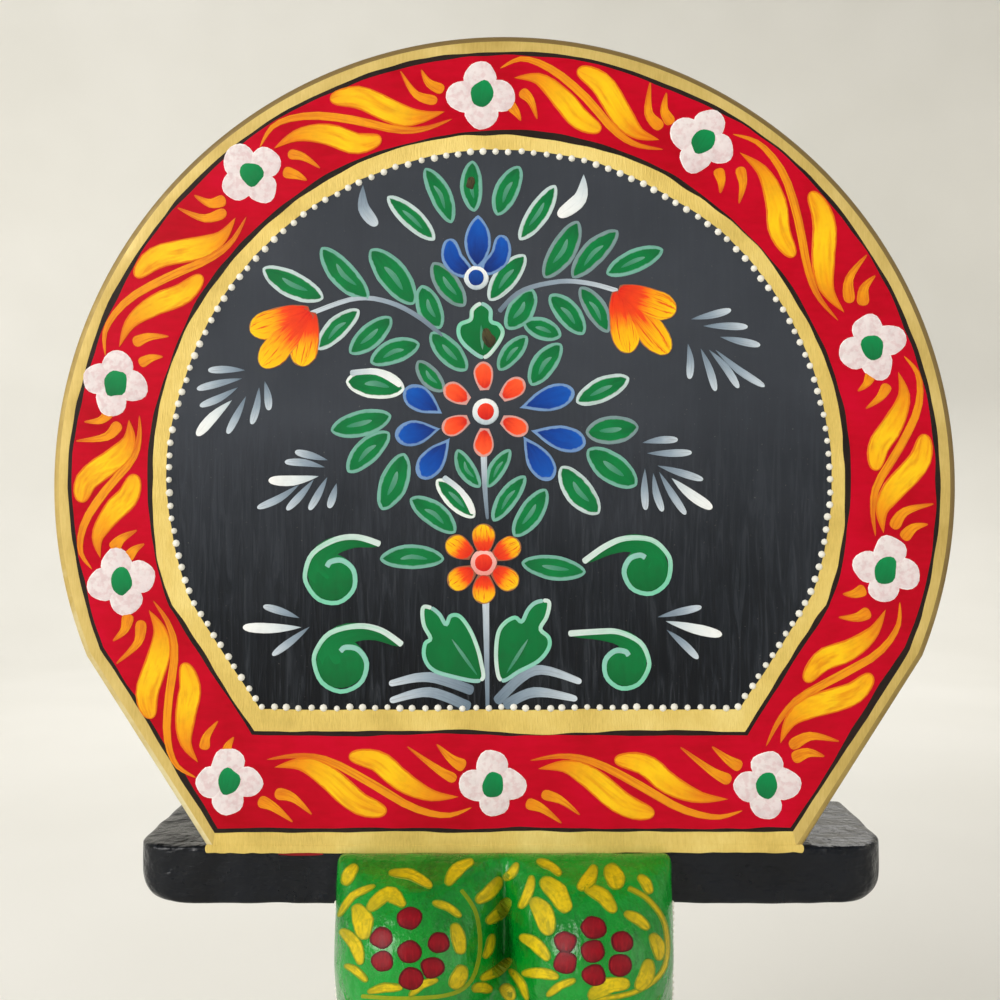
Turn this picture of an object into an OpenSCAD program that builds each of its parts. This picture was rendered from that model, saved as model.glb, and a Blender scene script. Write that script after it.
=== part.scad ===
// Painted wooden letter rack: two round-topped boards on a ledge that a carved elephant's head carries.
// X runs to the right, the front faces -Y and Z is up. The origin is the middle of the ledge's rear
// face, which rests on the wall, so the wall is the plane Y = 0.

/* [Boards] */
// Width of the round-topped boards
board_w = 240; // [200:1:300]
// Height of the round part's centre above the ledge
centre_h = 95; // [80:1:115]
// Width of a board where it stands on the ledge
foot_w = 159; // [130:1:170]
// How far below the centre the round part ends, as an angle
flank_angle = 22; // [15:1:30]
// Thickness of the painted front panel
panel_t = 12; // [9:0.5:18]
// Thickness of the back board
back_t = 9; // [6:0.5:14]
// Free depth of the pocket between the two boards
pocket_d = 16; // [12:0.5:40]
// Room behind the back board for the screw eye and ring
wall_gap = 9; // [9:0.5:14]

/* [Ledge] */
// Width of the ledge
ledge_w = 202; // [180:1:260]
// How far the ledge sits to the right of the boards' middle
ledge_shift = 1.6; // [-4:0.1:4]
// Thickness of the ledge
ledge_t = 16; // [12:0.5:24]
// Radius of the ledge's corners seen from above
ledge_corner_r = 11; // [4:0.5:18]
// Radius of the ledge's lower corners seen from the front
ledge_end_r = 6; // [2:0.5:7]

/* [Elephant head] */
// Radius of each dome of the forehead
dome_r = 21; // [17:0.5:24]
// Sideways distance of each dome's centre from the middle
dome_x = 22.5; // [18:0.5:25]
// How far each dome's centre stands in front of the ledge
dome_out = 9; // [4:0.5:14]
// How far each dome's centre lies below the ledge's top
dome_down = 25; // [22:0.5:30]
// Width of the forehead where it meets the ledge
forehead_w = 88; // [76:1:94]
// Width of the block that rests on the wall
neck_w = 58; // [44:1:70]
// Height of the block that rests on the wall
neck_h = 84; // [60:1:100]
// Depth of that block before it flows into the skull
neck_d = 12; // [8:0.5:20]
// Radius of the trunk where it leaves the face
trunk_r = 15; // [12:0.5:18]
// Radius of the trunk's tip
tip_r = 6.6; // [5:0.1:9]

/* [Ears and tusks] */
// Thickness of an ear
ear_t = 7; // [5:0.5:10]
// How far an ear is turned back from straight sideways
ear_turn = 18; // [0:1:35]
// Radius of a tusk where it leaves the head
tusk_r = 4; // [3:0.1:5]
// Depth of a tusk's socket behind its first point
peg_l = 9; // [5:0.5:12]

/* [Screws] */
// Radius of a countersunk head
screw_head_r = 3.5; // [3:0.1:4.5]
// Radius of a screw's shank
screw_r = 1.75; // [1.5:0.05:2.2]
// Length of a board screw
board_screw_l = 36; // [28:1:45]
// Length of a head screw
head_screw_l = 44; // [32:1:55]
// Distance of a board screw from the middle
board_screw_x = 64; // [54:1:68]
// Distance of a head screw from the middle
head_screw_x = 16; // [12:1:20]

/* [Hanging eye and ring] */
// Radius of the wire of the eye and of the ring
wire_r = 0.9; // [0.7:0.05:1.1]
// Radius of the eye, to the middle of its wire
eye_r = 3; // [2.8:0.1:3.4]
// Radius of the ring, to the middle of its wire
ring_r = 10; // [8:0.5:14]
// Length of the eye's shank in the board
shank_l = 7; // [4:0.5:8]
// How far the eye sits above the round part's centre
eye_above = 78; // [40:1:90]

/* [Hidden] */
$fn = 96;
fit = 0.05;              // clearance round a screw, a peg or the shank
slot_fit = 0.15;         // clearance round the ledge and the ears where they enter the head
through = 1;             // how far a cut runs past a face
ledge_d = panel_t + pocket_d + back_t + wall_gap;
ledge_top = ledge_t / 2;
panel_y = -ledge_d + panel_t;                  // rear face of the front panel
back_y = -wall_gap;                            // rear face of the back board
board_r = board_w / 2;
round_z = ledge_top + centre_h;
flank_x = board_r * cos(flank_angle);
flank_z = -board_r * sin(flank_angle);
face_y = -ledge_d;                             // front face of the ledge
head_countersink = screw_head_r - screw_r;     // depth of a screw's cone, at 45 degrees
root_step = 0.4;         // how much thicker a tusk's root is than the tusk
eye_clear = 0.3;         // gap between the eye and the back board
brow_t = 3;              // depth of the forehead's flat rear, against the ledge
brow_drop = 1.6;         // how far the forehead's top lies below the ledge's top
slot_w = 0.9;            // width and depth of the slot in a screw's head
slot_d = 0.7;
eye_y = back_y + eye_r + wire_r + eye_clear;
eye_z = round_z + eye_above;
pivot_z = eye_z - eye_r + 2 * wire_r + fit;    // the ring's wire rests in the bottom of the eye
ball_fn = 32;
// Trunk: place in front of the ledge, height below the ledge's top, and radius as a share of the
// way from trunk_r to tip_r
trunk = [[10, 58, 0], [18, 92, 0.35], [22, 124, 0.68], [35, 139, 0.85], [47, 129, 1]];
// Tusk: out to the side, in front of the ledge, below the ledge's top, and share of the radius.
// The first point is in the head and the second is clear of it.
tusk = [[18, 6, 74, 1], [22, 20, 84, 1], [23.5, 34, 88, 0.7], [23, 46, 83, 0.4]];
// Ear lobes: outwards, below the ear's top, and radius
ear_lobes = [[10, 15, 14], [42, 21, 20], [44, 40, 15], [27, 60, 11]];
ear_root_x = 27;
ear_root_y = -24;
ear_top = 57;                                  // the ear's top below the ledge's top

// A board's outline, with its foot on the X axis
module board_outline() {
    translate([0, centre_h]) {
        intersection() {
            circle(board_r, $fn = 180);
            translate([-board_r, flank_z]) square([2 * board_r, 2 * board_r]);
        }
        polygon([[-foot_w / 2, -centre_h], [foot_w / 2, -centre_h],
                 [flank_x, flank_z], [-flank_x, flank_z]]);
    }
}

module board(rear_y, thick) {
    translate([0, rear_y, ledge_top]) rotate([90, 0, 0]) linear_extrude(thick) board_outline();
}

// A countersunk screw with its head's flat face at the origin and its shank along +Z
module screw(length, grow = 0) {
    cylinder(h = head_countersink, r1 = screw_head_r + grow, r2 = screw_r + grow);
    cylinder(h = length + grow, r = screw_r + grow);
}

module slotted_screw(length) {
    difference() {
        screw(length);
        translate([-screw_head_r - through, -slot_w / 2, -through])
            cube([2 * (screw_head_r + through), slot_w, through + slot_d]);
    }
}

module board_screw(side, y, grow = 0) {
    translate([side * board_screw_x, y, -ledge_t / 2])
        if (grow > 0) screw(board_screw_l, grow); else slotted_screw(board_screw_l);
}

module head_screw(side, grow = 0) {
    translate([side * head_screw_x, back_y - back_t - pocket_d / 2, ledge_top])
        rotate([180, 0, 0])
            if (grow > 0) screw(head_screw_l, grow); else slotted_screw(head_screw_l);
}

module front_panel() {
    color("crimson") difference() {
        board(panel_y, panel_t);
        for (side = [-1, 1]) board_screw(side, face_y + panel_t / 2, fit);
    }
}

module back_board() {
    color("black") difference() {
        board(back_y, back_t);
        for (side = [-1, 1]) board_screw(side, back_y - back_t / 2, fit);
        translate([0, back_y + through, eye_z]) rotate([90, 0, 0])
            cylinder(h = shank_l + through + fit, r = wire_r + fit);
    }
}

// The ledge, rounded at its front corners seen from above and at its lower corners seen from the
// front
module ledge_body() {
    half = ledge_w / 2;
    translate([ledge_shift, 0, 0]) intersection() {
        translate([0, 0, -ledge_t / 2]) linear_extrude(ledge_t) {
            translate([-half, -ledge_d / 2]) square([ledge_w, ledge_d / 2]);
            translate([-half + ledge_corner_r, face_y])
                square([ledge_w - 2 * ledge_corner_r, ledge_d]);
            for (side = [-1, 1]) {
                translate([side * (half - ledge_corner_r), face_y + ledge_corner_r])
                    circle(ledge_corner_r);
                translate([side * (half - ledge_corner_r / 2) - ledge_corner_r / 2,
                           face_y + ledge_corner_r])
                    square([ledge_corner_r, ledge_d / 2]);
            }
        }
        rotate([90, 0, 0]) linear_extrude(ledge_d) {
            translate([-half, -ledge_t / 2 + ledge_end_r])
                square([ledge_w, ledge_t - ledge_end_r]);
            translate([-half + ledge_end_r, -ledge_t / 2])
                square([ledge_w - 2 * ledge_end_r, ledge_t]);
            for (side = [-1, 1])
                translate([side * (half - ledge_end_r), -ledge_t / 2 + ledge_end_r])
                    circle(ledge_end_r);
        }
    }
}

module ledge() {
    color("dimgray") difference() {
        ledge_body();
        for (side = [-1, 1]) {
            board_screw(side, face_y + panel_t / 2, fit);
            board_screw(side, back_y - back_t / 2, fit);
            head_screw(side, fit);
        }
    }
}

module ball(x, out, down, r) {
    translate([x, face_y - out, ledge_top - down]) sphere(r, $fn = ball_fn);
}

function trunk_radius(i) = trunk_r + (tip_r - trunk_r) * trunk[i][2];

module trunk_shape() {
    for (i = [0 : len(trunk) - 2]) hull() for (j = [i, i + 1])
        ball(0, trunk[j][0], trunk[j][1], trunk_radius(j));
}

// One half of the forehead: flat and square against the ledge, a ball in front
module dome(side) {
    hull() {
        ball(side * dome_x, dome_out, dome_down, dome_r);
        translate([side * forehead_w / 4 - forehead_w / 4, face_y - brow_t,
                   ledge_top - brow_drop - 2 * dome_r])
            cube([forehead_w / 2, brow_t, 2 * dome_r]);
    }
}

module skull() {
    dome(-1);
    dome(1);
    hull() {
        for (side = [-1, 1]) {
            ball(side * (dome_x - 1.5), -1, 43, dome_r - 2);
            ball(side * 15, 3, 71, 15);
        }
        translate([-neck_w / 2, -neck_d, -ledge_t / 2 - neck_h]) cube([neck_w, neck_d, neck_h]);
    }
}

module head() {
    color("green") difference() {
        union() {
            skull();
            trunk_shape();
        }
        translate([-ledge_w, face_y - slot_fit, -ledge_t / 2 - slot_fit])
            cube([2 * ledge_w, 2 * ledge_d, ledge_t * 3]);
        for (side = [-1, 1]) {
            head_screw(side, fit);
            tusk_root(side, fit);
            ear(side, slot_fit);
        }
    }
}

// Turns the children from +Z to the direction in which a tusk leaves the head
module at_tusk_root(side) {
    run = tusk[1] - tusk[0];
    flat = norm([run[0], run[1]]);
    translate([side * tusk[0][0], face_y - tusk[0][1], ledge_top - tusk[0][2]])
        rotate([0, 0, side * atan2(run[0], run[1])]) rotate([90 + atan2(run[2], flat), 0, 0])
            children();
}

// The straight root of a tusk, from the bottom of its socket to its second point
module tusk_root(side, grow = 0) {
    at_tusk_root(side) translate([0, 0, -peg_l - grow])
        cylinder(h = peg_l + grow + norm([for (i = [0 : 2]) tusk[1][i] - tusk[0][i]]),
                 r = tusk_r + root_step + grow);
}

module tusk(side) {
    color("ivory") {
        tusk_root(side);
        for (i = [1 : len(tusk) - 2]) hull() for (j = [i, i + 1])
            ball(side * tusk[j][0], tusk[j][1], tusk[j][2], tusk_r * tusk[j][3]);
    }
}

module ear(side, grow = 0) {
    translate([side * ear_root_x, ear_root_y, ledge_top - ear_top]) rotate([0, 0, -side * ear_turn])
        rotate([90, 0, 0]) translate([0, 0, -ear_t / 2 - grow]) linear_extrude(ear_t + 2 * grow)
            hull() for (lobe = ear_lobes)
                translate([side * lobe[0], -lobe[1]]) circle(lobe[2] + grow, $fn = 48);
}

module screw_eye() {
    color("goldenrod") translate([0, eye_y, eye_z]) {
        rotate([0, 90, 0]) rotate_extrude() translate([eye_r, 0]) circle(wire_r, $fn = 24);
        translate([0, -eye_r, 0]) rotate([90, 0, 0])
            cylinder(h = shank_l + eye_y - eye_r - back_y, r = wire_r);
    }
}

module hang_ring() {
    color("goldenrod") translate([0, eye_y, pivot_z - ring_r]) rotate([90, 0, 0])
        rotate_extrude() translate([ring_r, 0]) circle(wire_r, $fn = 24);
}

front_panel();
back_board();
ledge();
head();
color("green") ear(-1);  // ear_left
color("green") ear(1);  // ear_right
tusk(-1);  // tusk_left
tusk(1);  // tusk_right
color("silver") board_screw(-1, face_y + panel_t / 2);  // panel_screw_left
color("silver") board_screw(1, face_y + panel_t / 2);  // panel_screw_right
color("silver") board_screw(-1, back_y - back_t / 2);  // back_screw_left
color("silver") board_screw(1, back_y - back_t / 2);  // back_screw_right
color("silver") head_screw(-1);  // head_screw_left
color("silver") head_screw(1);  // head_screw_right
screw_eye();
hang_ring();
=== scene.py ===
import math
import random
import bmesh
import bpy
from mathutils import Matrix, Vector, noise
from mathutils.bvhtree import BVHTree


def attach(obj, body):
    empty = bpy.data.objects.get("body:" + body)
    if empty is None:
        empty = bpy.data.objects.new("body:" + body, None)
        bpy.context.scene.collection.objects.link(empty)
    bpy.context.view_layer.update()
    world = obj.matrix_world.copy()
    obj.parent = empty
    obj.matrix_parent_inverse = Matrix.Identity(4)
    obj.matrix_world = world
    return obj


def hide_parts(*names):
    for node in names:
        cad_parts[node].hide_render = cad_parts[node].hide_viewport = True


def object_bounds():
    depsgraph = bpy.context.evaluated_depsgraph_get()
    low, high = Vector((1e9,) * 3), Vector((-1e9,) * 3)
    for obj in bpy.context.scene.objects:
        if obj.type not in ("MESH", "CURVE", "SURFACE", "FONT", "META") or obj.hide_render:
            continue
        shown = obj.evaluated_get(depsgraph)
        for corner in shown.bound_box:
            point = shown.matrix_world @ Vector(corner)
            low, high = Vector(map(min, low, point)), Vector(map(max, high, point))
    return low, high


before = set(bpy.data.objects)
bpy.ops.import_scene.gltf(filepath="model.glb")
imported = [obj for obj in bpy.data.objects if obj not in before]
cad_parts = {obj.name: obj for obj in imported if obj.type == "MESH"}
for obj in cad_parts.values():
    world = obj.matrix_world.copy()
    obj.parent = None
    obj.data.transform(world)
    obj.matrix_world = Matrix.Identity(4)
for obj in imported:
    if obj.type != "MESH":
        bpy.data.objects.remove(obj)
cad_low, cad_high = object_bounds()
scene = bpy.context.scene
chance = random.Random(7)

MM = 0.001
LEDGE_TOP = 8.0
LEDGE_FRONT = -46.0
PANEL_REAR = -34.0
BOARD_FRONT = -18.0
BOARD_REAR = -9.0
ROUND_CENTRE = 95.0
ROUND_RADIUS = 120.0
FOOT_HALF = 79.5
FOOT_STEPS = 80
FLANK_STEPS = 24
ROUND_STEPS = 196
LEDGE_SHIFT = 1.6
LEDGE_HALF = 101.0
LEDGE_CORNER = 11.0
LEDGE_END = 6.0
BAND_RADIUS = 104.8
BAND_HALF = 10.4
PAINT_SUNK = -0.06
PAINT_BASE = 0.03
PAINT_STEP = 0.05


# ---- colours and finishes -------------------------------------------------------------------

def rgb(red, green, blue):
    def channel(value):
        share = value / 255
        if share <= 0.04045:
            return share / 12.92
        return ((share + 0.055) / 1.055) ** 2.4
    return (channel(red), channel(green), channel(blue), 1)


class Finish:
    """A painted, metal or wood finish made of nodes."""

    def __init__(self, name, **settings):
        self.material = bpy.data.materials.new(name)
        self.material.use_nodes = True
        self.tree = self.material.node_tree
        self.shader = self.tree.nodes["Principled BSDF"]
        for key, value in settings.items():
            self.shader.inputs[key.replace("_", " ")].default_value = value

    def node(self, kind, **values):
        made = self.tree.nodes.new(kind)
        for key, value in values.items():
            setattr(made, key, value)
        return made

    def feed(self, value, socket):
        if isinstance(value, (int, float, tuple)):
            socket.default_value = value
        else:
            self.tree.links.new(value, socket)

    def place(self, stretch=(1, 1, 1)):
        where = self.node("ShaderNodeTexCoord")
        scaled = self.node("ShaderNodeMapping")
        scaled.inputs["Scale"].default_value = stretch
        self.feed(where.outputs["Object"], scaled.inputs["Vector"])
        return scaled.outputs["Vector"]

    def noise(self, scale, stretch=(1, 1, 1), detail=4.0, rough=0.55, vector=None, bend=0.0):
        made = self.node("ShaderNodeTexNoise")
        made.inputs["Distortion"].default_value = bend
        made.inputs["Scale"].default_value = scale
        made.inputs["Detail"].default_value = detail
        made.inputs["Roughness"].default_value = rough
        self.feed(vector or self.place(stretch), made.inputs["Vector"])
        return made.outputs[0]

    def axis(self, letter):
        parts = self.node("ShaderNodeSeparateXYZ")
        self.feed(self.place(), parts.inputs[0])
        return parts.outputs[letter]

    def math(self, kind, first, second=0.0):
        made = self.node("ShaderNodeMath", operation=kind)
        self.feed(first, made.inputs[0])
        self.feed(second, made.inputs[1])
        return made.outputs[0]

    def span(self, value, low, high, to_low=0.0, to_high=1.0):
        made = self.node("ShaderNodeMapRange")
        self.feed(value, made.inputs["Value"])
        for key, number in (("From Min", low), ("From Max", high), ("To Min", to_low),
                            ("To Max", to_high)):
            made.inputs[key].default_value = number
        return made.outputs["Result"]

    def ramp(self, value, stops):
        made = self.node("ShaderNodeValToRGB")
        steps = made.color_ramp.elements
        while len(steps) < len(stops):
            steps.new(0.5)
        for step, (position, colour) in zip(steps, stops):
            step.position = position
            step.color = colour
        self.feed(value, made.inputs[0])
        return made.outputs["Color"]

    def mix(self, share, first, second):
        made = self.node("ShaderNodeMix", data_type="RGBA")
        self.feed(share, made.inputs[0])
        self.feed(first, made.inputs[6])
        self.feed(second, made.inputs[7])
        return made.outputs[2]

    def brush(self):
        """Place along a stroke, place across it, distance to its edge in mm, and its tone."""
        read = self.node("ShaderNodeAttribute", attribute_name="brush")
        parts = self.node("ShaderNodeSeparateColor")
        self.feed(read.outputs["Color"], parts.inputs[0])
        edge = self.math("MULTIPLY", parts.outputs[2], 5.0)
        return parts.outputs[0], parts.outputs[1], edge, read.outputs["Alpha"]

    def hairs(self, along, across, fine=9.0):
        """Streaks that run along a brush stroke."""
        parts = self.node("ShaderNodeSeparateXYZ")
        self.feed(self.place((90, 90, 70)), parts.inputs[0])
        shift = self.math("ADD", parts.outputs[0], parts.outputs[2])
        joined = self.node("ShaderNodeCombineXYZ")
        self.feed(self.math("MULTIPLY", along, 1.6), joined.inputs[0])
        self.feed(self.math("MULTIPLY", across, fine), joined.inputs[1])
        self.feed(shift, joined.inputs[2])
        return self.noise(1.0, detail=3.0, vector=joined.outputs[0])

    def relief(self, height, depth, strength=1.0, under=None):
        made = self.node("ShaderNodeBump")
        made.inputs["Strength"].default_value = strength
        made.inputs["Distance"].default_value = depth * MM
        self.feed(height, made.inputs["Height"])
        if under is not None:
            self.feed(under, made.inputs["Normal"])
        return made.outputs["Normal"]

    def done(self, colour, roughness, normal=None):
        self.feed(colour, self.shader.inputs["Base Color"])
        self.feed(roughness, self.shader.inputs["Roughness"])
        if normal is not None:
            self.feed(normal, self.shader.inputs["Normal"])
        return self.material


def coat_of_paint(name, stops, patch=45, rough=(0.35, 0.55), lumps=0.05, hairs=(260, 260, 40),
                  hair_depth=0.02, lump_scale=110, **settings):
    """Paint laid on with a brush: patches of tone, brush hairs and a little lumpiness."""
    paint = Finish(name, **settings)
    tone = paint.noise(patch, detail=5.0)
    streak = paint.noise(3.0, hairs, detail=3.0)
    blend = paint.math("ADD", paint.math("MULTIPLY", tone, 0.7), paint.math("MULTIPLY", streak, 0.3))
    colour = paint.ramp(blend, stops)
    grain = paint.noise(900, detail=3.0)
    roughness = paint.span(paint.noise(140, detail=4.0), 0.3, 0.7, rough[0], rough[1])
    normal = paint.relief(paint.noise(lump_scale, detail=3.0), lumps)
    normal = paint.relief(streak, hair_depth, 1.0, normal)
    normal = paint.relief(grain, 0.008, 1.0, normal)
    return paint.done(colour, roughness, normal)


def stroke_paint(name, stops, edge=None, streaks=None, tones=None, rough=(0.38, 0.55), fine=9.0,
                 speckle=None, **settings):
    """Paint of a single brush stroke, coloured along it, with an outline and streaks."""
    paint = Finish(name, Specular_IOR_Level=0.2)
    for key, value in settings.items():
        paint.shader.inputs[key.replace("_", " ")].default_value = value
    along, across, rim, tone = paint.brush()
    hair = paint.hairs(along, across, fine)
    mottle = paint.noise(420, detail=4.0)
    run = paint.math("ADD", along, paint.math("MULTIPLY", paint.math("SUBTRACT", hair, 0.5), 0.7))
    colour = paint.ramp(run, stops)
    if streaks:
        share, streak_colour = streaks
        colour = paint.mix(paint.span(hair, 0.5, 0.66, 0.0, share), colour, streak_colour)
    if edge:
        width, edge_colour = edge
        if tones:
            edge_colour = paint.ramp(tone, tones)
        wander = paint.math("ADD", rim, paint.span(mottle, 0.2, 0.8, -0.22, 0.22))
        share = paint.span(wander, width - 0.12, width + 0.12, 1.0, 0.0)
        faded = paint.math("MULTIPLY", share, paint.span(hair, 0.25, 0.5, 0.72, 1.0))
        colour = paint.mix(faded, colour, edge_colour)
    elif tones:
        colour = paint.mix(0.85, colour, paint.ramp(tone, tones))
    if speckle:
        blots = paint.noise(700, detail=3.0)
        colour = paint.mix(paint.span(blots, 0.46, 0.62, 0.0, speckle[0]), colour, speckle[1])
    colour = paint.mix(paint.span(mottle, 0.45, 0.8, 0.0, 0.12), colour, (0.03, 0.02, 0.02, 1))
    roughness = paint.span(mottle, 0.3, 0.7, rough[0], rough[1])
    normal = paint.relief(hair, 0.04)
    normal = paint.relief(mottle, 0.02, 1.0, normal)
    return paint.done(colour, roughness, normal)


rim_gold = coat_of_paint("rim_gold_paint", [(0.25, rgb(178, 148, 68)), (0.5, rgb(206, 178, 98)),
                         (0.75, rgb(226, 200, 124))], 60, (0.42, 0.6), 0.06, (900, 90, 120), 0.06,
                         Metallic=0.2)
inner_gold = coat_of_paint("inner_gold_paint", [(0.25, rgb(196, 166, 76)), (0.5, rgb(228, 198, 104)),
                           (0.75, rgb(246, 222, 136))], 60, (0.4, 0.6), 0.1, (1300, 90, 160), 0.2,
                           Metallic=0.15)
line_black = coat_of_paint("line_black_paint", [(0.3, rgb(16, 12, 10)), (0.7, rgb(44, 28, 22))], 80,
                           Specular_IOR_Level=0.2)
band_red = coat_of_paint("band_red_enamel", [(0.3, rgb(170, 0, 20)), (0.55, rgb(196, 0, 34)),
                         (0.8, rgb(210, 0, 48))], 40, (0.34, 0.5), 0.05, (60, 60, 200), 0.03,
                         Specular_IOR_Level=0.1)


def rim_wear_and_painted_sheen():
    paint = Finish("rim_edge_gold_wear_and_painted_sheen", Metallic=0.25)
    wear = paint.noise(120, detail=6.0, rough=0.7)
    # Painted reflection and painted shade: the rounded rim is painted pale cream towards the lower left and
    # dark olive towards the top right, by where light falls; random wear noise is mixed in.
    rise = paint.math("ADD", paint.axis("Z"), paint.math("MULTIPLY", paint.axis("X"), 0.5))
    share = paint.math("ADD", paint.span(rise, -0.02, 0.2), paint.math("MULTIPLY", wear, 0.5))
    colour = paint.ramp(share, [(0.15, rgb(232, 222, 180)), (0.45, rgb(196, 168, 92)),
                                (0.75, rgb(160, 134, 70)), (1.0, rgb(128, 104, 54))])
    roughness = paint.span(wear, 0.3, 0.7, 0.45, 0.7)
    return paint.done(colour, roughness, paint.relief(wear, 0.12))


def field_black():
    paint = Finish("field_black_lacquer", Specular_IOR_Level=0.12)
    grain = paint.noise(1.0, (560, 560, 46), detail=4.0, rough=0.6, bend=1.3)
    bend = paint.noise(14, detail=2.0)
    # Painted sheen: the field is painted darker towards the bottom and lighter above, standing for the
    # reflection on its upper part; the lower part also gets the deeper grain.
    low = paint.span(paint.math("ADD", paint.axis("Z"), paint.math("MULTIPLY", bend, 0.05)),
                     0.04, 0.15, 1.0, 0.0)
    dust = paint.noise(1500, detail=2.0)
    tone = paint.math("SUBTRACT", paint.math("MULTIPLY", paint.noise(22, detail=5.0), 0.4),
                      paint.math("MULTIPLY", low, 0.46))
    colour = paint.ramp(paint.math("ADD", tone, 0.47), [(0.1, rgb(8, 9, 12)), (0.4, rgb(34, 38, 44)),
                                                        (0.75, rgb(66, 70, 78))])
    fleck = paint.span(dust, 0.70, 0.74, 0.0, 0.5)
    colour = paint.mix(fleck, colour, rgb(120, 118, 112))
    depth = paint.math("ADD", paint.math("MULTIPLY", low, 0.9), 0.06)
    groove = paint.math("MULTIPLY", grain, depth)
    # Painted shade darkens the grain's grooves and a painted highlight lightens its ridges, mostly low
    # down.
    shade = paint.math("MULTIPLY", paint.span(grain, 0.42, 0.62, 0.8, 0.0), depth)
    colour = paint.mix(shade, colour, rgb(6, 6, 8))
    ridge_highlight = paint.math("MULTIPLY", paint.span(grain, 0.54, 0.7, 0.0, 0.7), depth)
    colour = paint.mix(ridge_highlight, colour, rgb(62, 66, 72))
    roughness = paint.span(paint.noise(90, detail=4.0), 0.3, 0.7, 0.3, 0.42)
    normal = paint.relief(groove, 0.7)
    normal = paint.relief(dust, 0.01, 1.0, normal)
    return paint.done(colour, roughness, normal)


def raw_wood(name, dark, light):
    wood = Finish(name)
    wave = wood.noise(1.0, (260, 260, 18), detail=6.0, rough=0.6)
    pores = wood.noise(1.0, (1600, 1600, 90), detail=2.0)
    colour = wood.ramp(wave, [(0.3, dark), (0.7, light)])
    colour = wood.mix(wood.span(pores, 0.6, 0.72, 0.0, 0.55), colour, rgb(58, 38, 24))
    roughness = wood.span(wave, 0.3, 0.7, 0.6, 0.8)
    return wood.done(colour, roughness, wood.relief(pores, 0.05, 1.0, wood.relief(wave, 0.08)))


def metal(name, dark, light, rough, scratch=(1500, 1500, 60)):
    made = Finish(name, Metallic=1.0)
    marks = made.noise(1.0, scratch, detail=3.0)
    stain = made.noise(600, detail=5.0)
    colour = made.ramp(stain, [(0.3, dark), (0.65, light)])
    roughness = made.span(marks, 0.3, 0.7, rough - 0.1, rough + 0.12)
    return made.done(colour, roughness, made.relief(marks, 0.01))


rim_edge = rim_wear_and_painted_sheen()
field_lacquer = field_black()
side_black = coat_of_paint("side_black_enamel", [(0.3, rgb(18, 17, 18)), (0.7, rgb(44, 42, 42))], 70,
                           (0.25, 0.4), 0.12, (60, 60, 300), 0.04, Specular_IOR_Level=0.25)
rear_wood = raw_wood("rear_mango_wood", rgb(122, 84, 50), rgb(172, 128, 82))
ledge_black = coat_of_paint("ledge_black_gloss", [(0.3, rgb(2, 4, 9)), (0.7, rgb(10, 16, 26))], 60,
                            (0.16, 0.3), 1.5, (40, 300, 300), 0.2, 125, Specular_IOR_Level=0.28)
head_green = coat_of_paint("head_green_enamel", [(0.3, rgb(0, 96, 26)), (0.52, rgb(0, 140, 36)),
                           (0.8, rgb(0, 164, 56))], 45, (0.18, 0.34), 1.0, (220, 110, 60), 0.25, 200,
                           Specular_IOR_Level=0.3, Coat_Weight=0.3, Coat_Roughness=0.05)
tusk_ivory = coat_of_paint("tusk_ivory_enamel", [(0.3, rgb(226, 214, 186)), (0.7, rgb(244, 236, 216))],
                           50, (0.25, 0.4), 0.1)
screw_steel = metal("screw_zinc_steel", rgb(140, 138, 134), rgb(196, 195, 190), 0.35)
eye_brass = metal("eye_brass", rgb(150, 112, 48), rgb(206, 168, 86), 0.3)

border_yellow = stroke_paint("border_leaf_yellow", [(0.0, rgb(222, 110, 8)), (0.25, rgb(240, 150, 8)),
                             (0.6, rgb(255, 202, 16)), (1.0, rgb(246, 166, 10))],
                             (0.5, rgb(226, 116, 6)), (0.5, rgb(220, 118, 6)), fine=3.2)
border_orange = stroke_paint("border_stroke_orange", [(0.0, rgb(232, 132, 14)), (0.5, rgb(242, 156, 14)),
                             (1.0, rgb(214, 92, 10))], None, (0.6, rgb(208, 92, 8)), fine=4.0)
flower_white = stroke_paint("border_flower_white", [(0.0, rgb(226, 210, 212)), (1.0, rgb(240, 230, 230))],
                            (0.35, rgb(246, 240, 240)), None, fine=3.0,
                            speckle=(0.42, rgb(212, 172, 176)))
flower_green = stroke_paint("flower_centre_green", [(0.0, rgb(0, 110, 58)), (1.0, rgb(0, 140, 76))])
leaf_tones = [(0.0, rgb(116, 178, 160)), (0.33, rgb(122, 148, 150)), (0.66, rgb(194, 212, 212)),
              (1.0, rgb(232, 240, 236))]
leaf_green = stroke_paint("leaf_green_paint", [(0.0, rgb(0, 96, 50)), (0.5, rgb(0, 124, 62)),
                          (1.0, rgb(0, 104, 54))], (1.05, rgb(110, 205, 165)), None, leaf_tones,
                          fine=5.0)
leaf_plain = stroke_paint("leaf_fill_green", [(0.0, rgb(0, 98, 46)), (1.0, rgb(0, 124, 62))])
leaf_outline = stroke_paint("leaf_outline_mint", [(0.0, rgb(214, 228, 224)), (0.5, rgb(120, 206, 172)),
                            (1.0, rgb(150, 196, 190))])
leaf_rib = stroke_paint("leaf_rib_mint", [(0.0, rgb(104, 162, 140)), (1.0, rgb(44, 134, 96))])
knot_brown = stroke_paint("knot_stain_brown", [(0.0, rgb(56, 50, 34)), (1.0, rgb(84, 76, 48))], None,
                          (0.8, rgb(30, 26, 20)))
blue_plain = stroke_paint("flower_heart_blue", [(0.0, rgb(8, 46, 120)), (1.0, rgb(10, 76, 166))])
petal_blue = stroke_paint("petal_blue_paint", [(0.0, rgb(10, 34, 104)), (0.5, rgb(8, 66, 158)),
                          (1.0, rgb(10, 88, 186))], (0.8, rgb(116, 150, 196)), None, fine=4.0)
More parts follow.
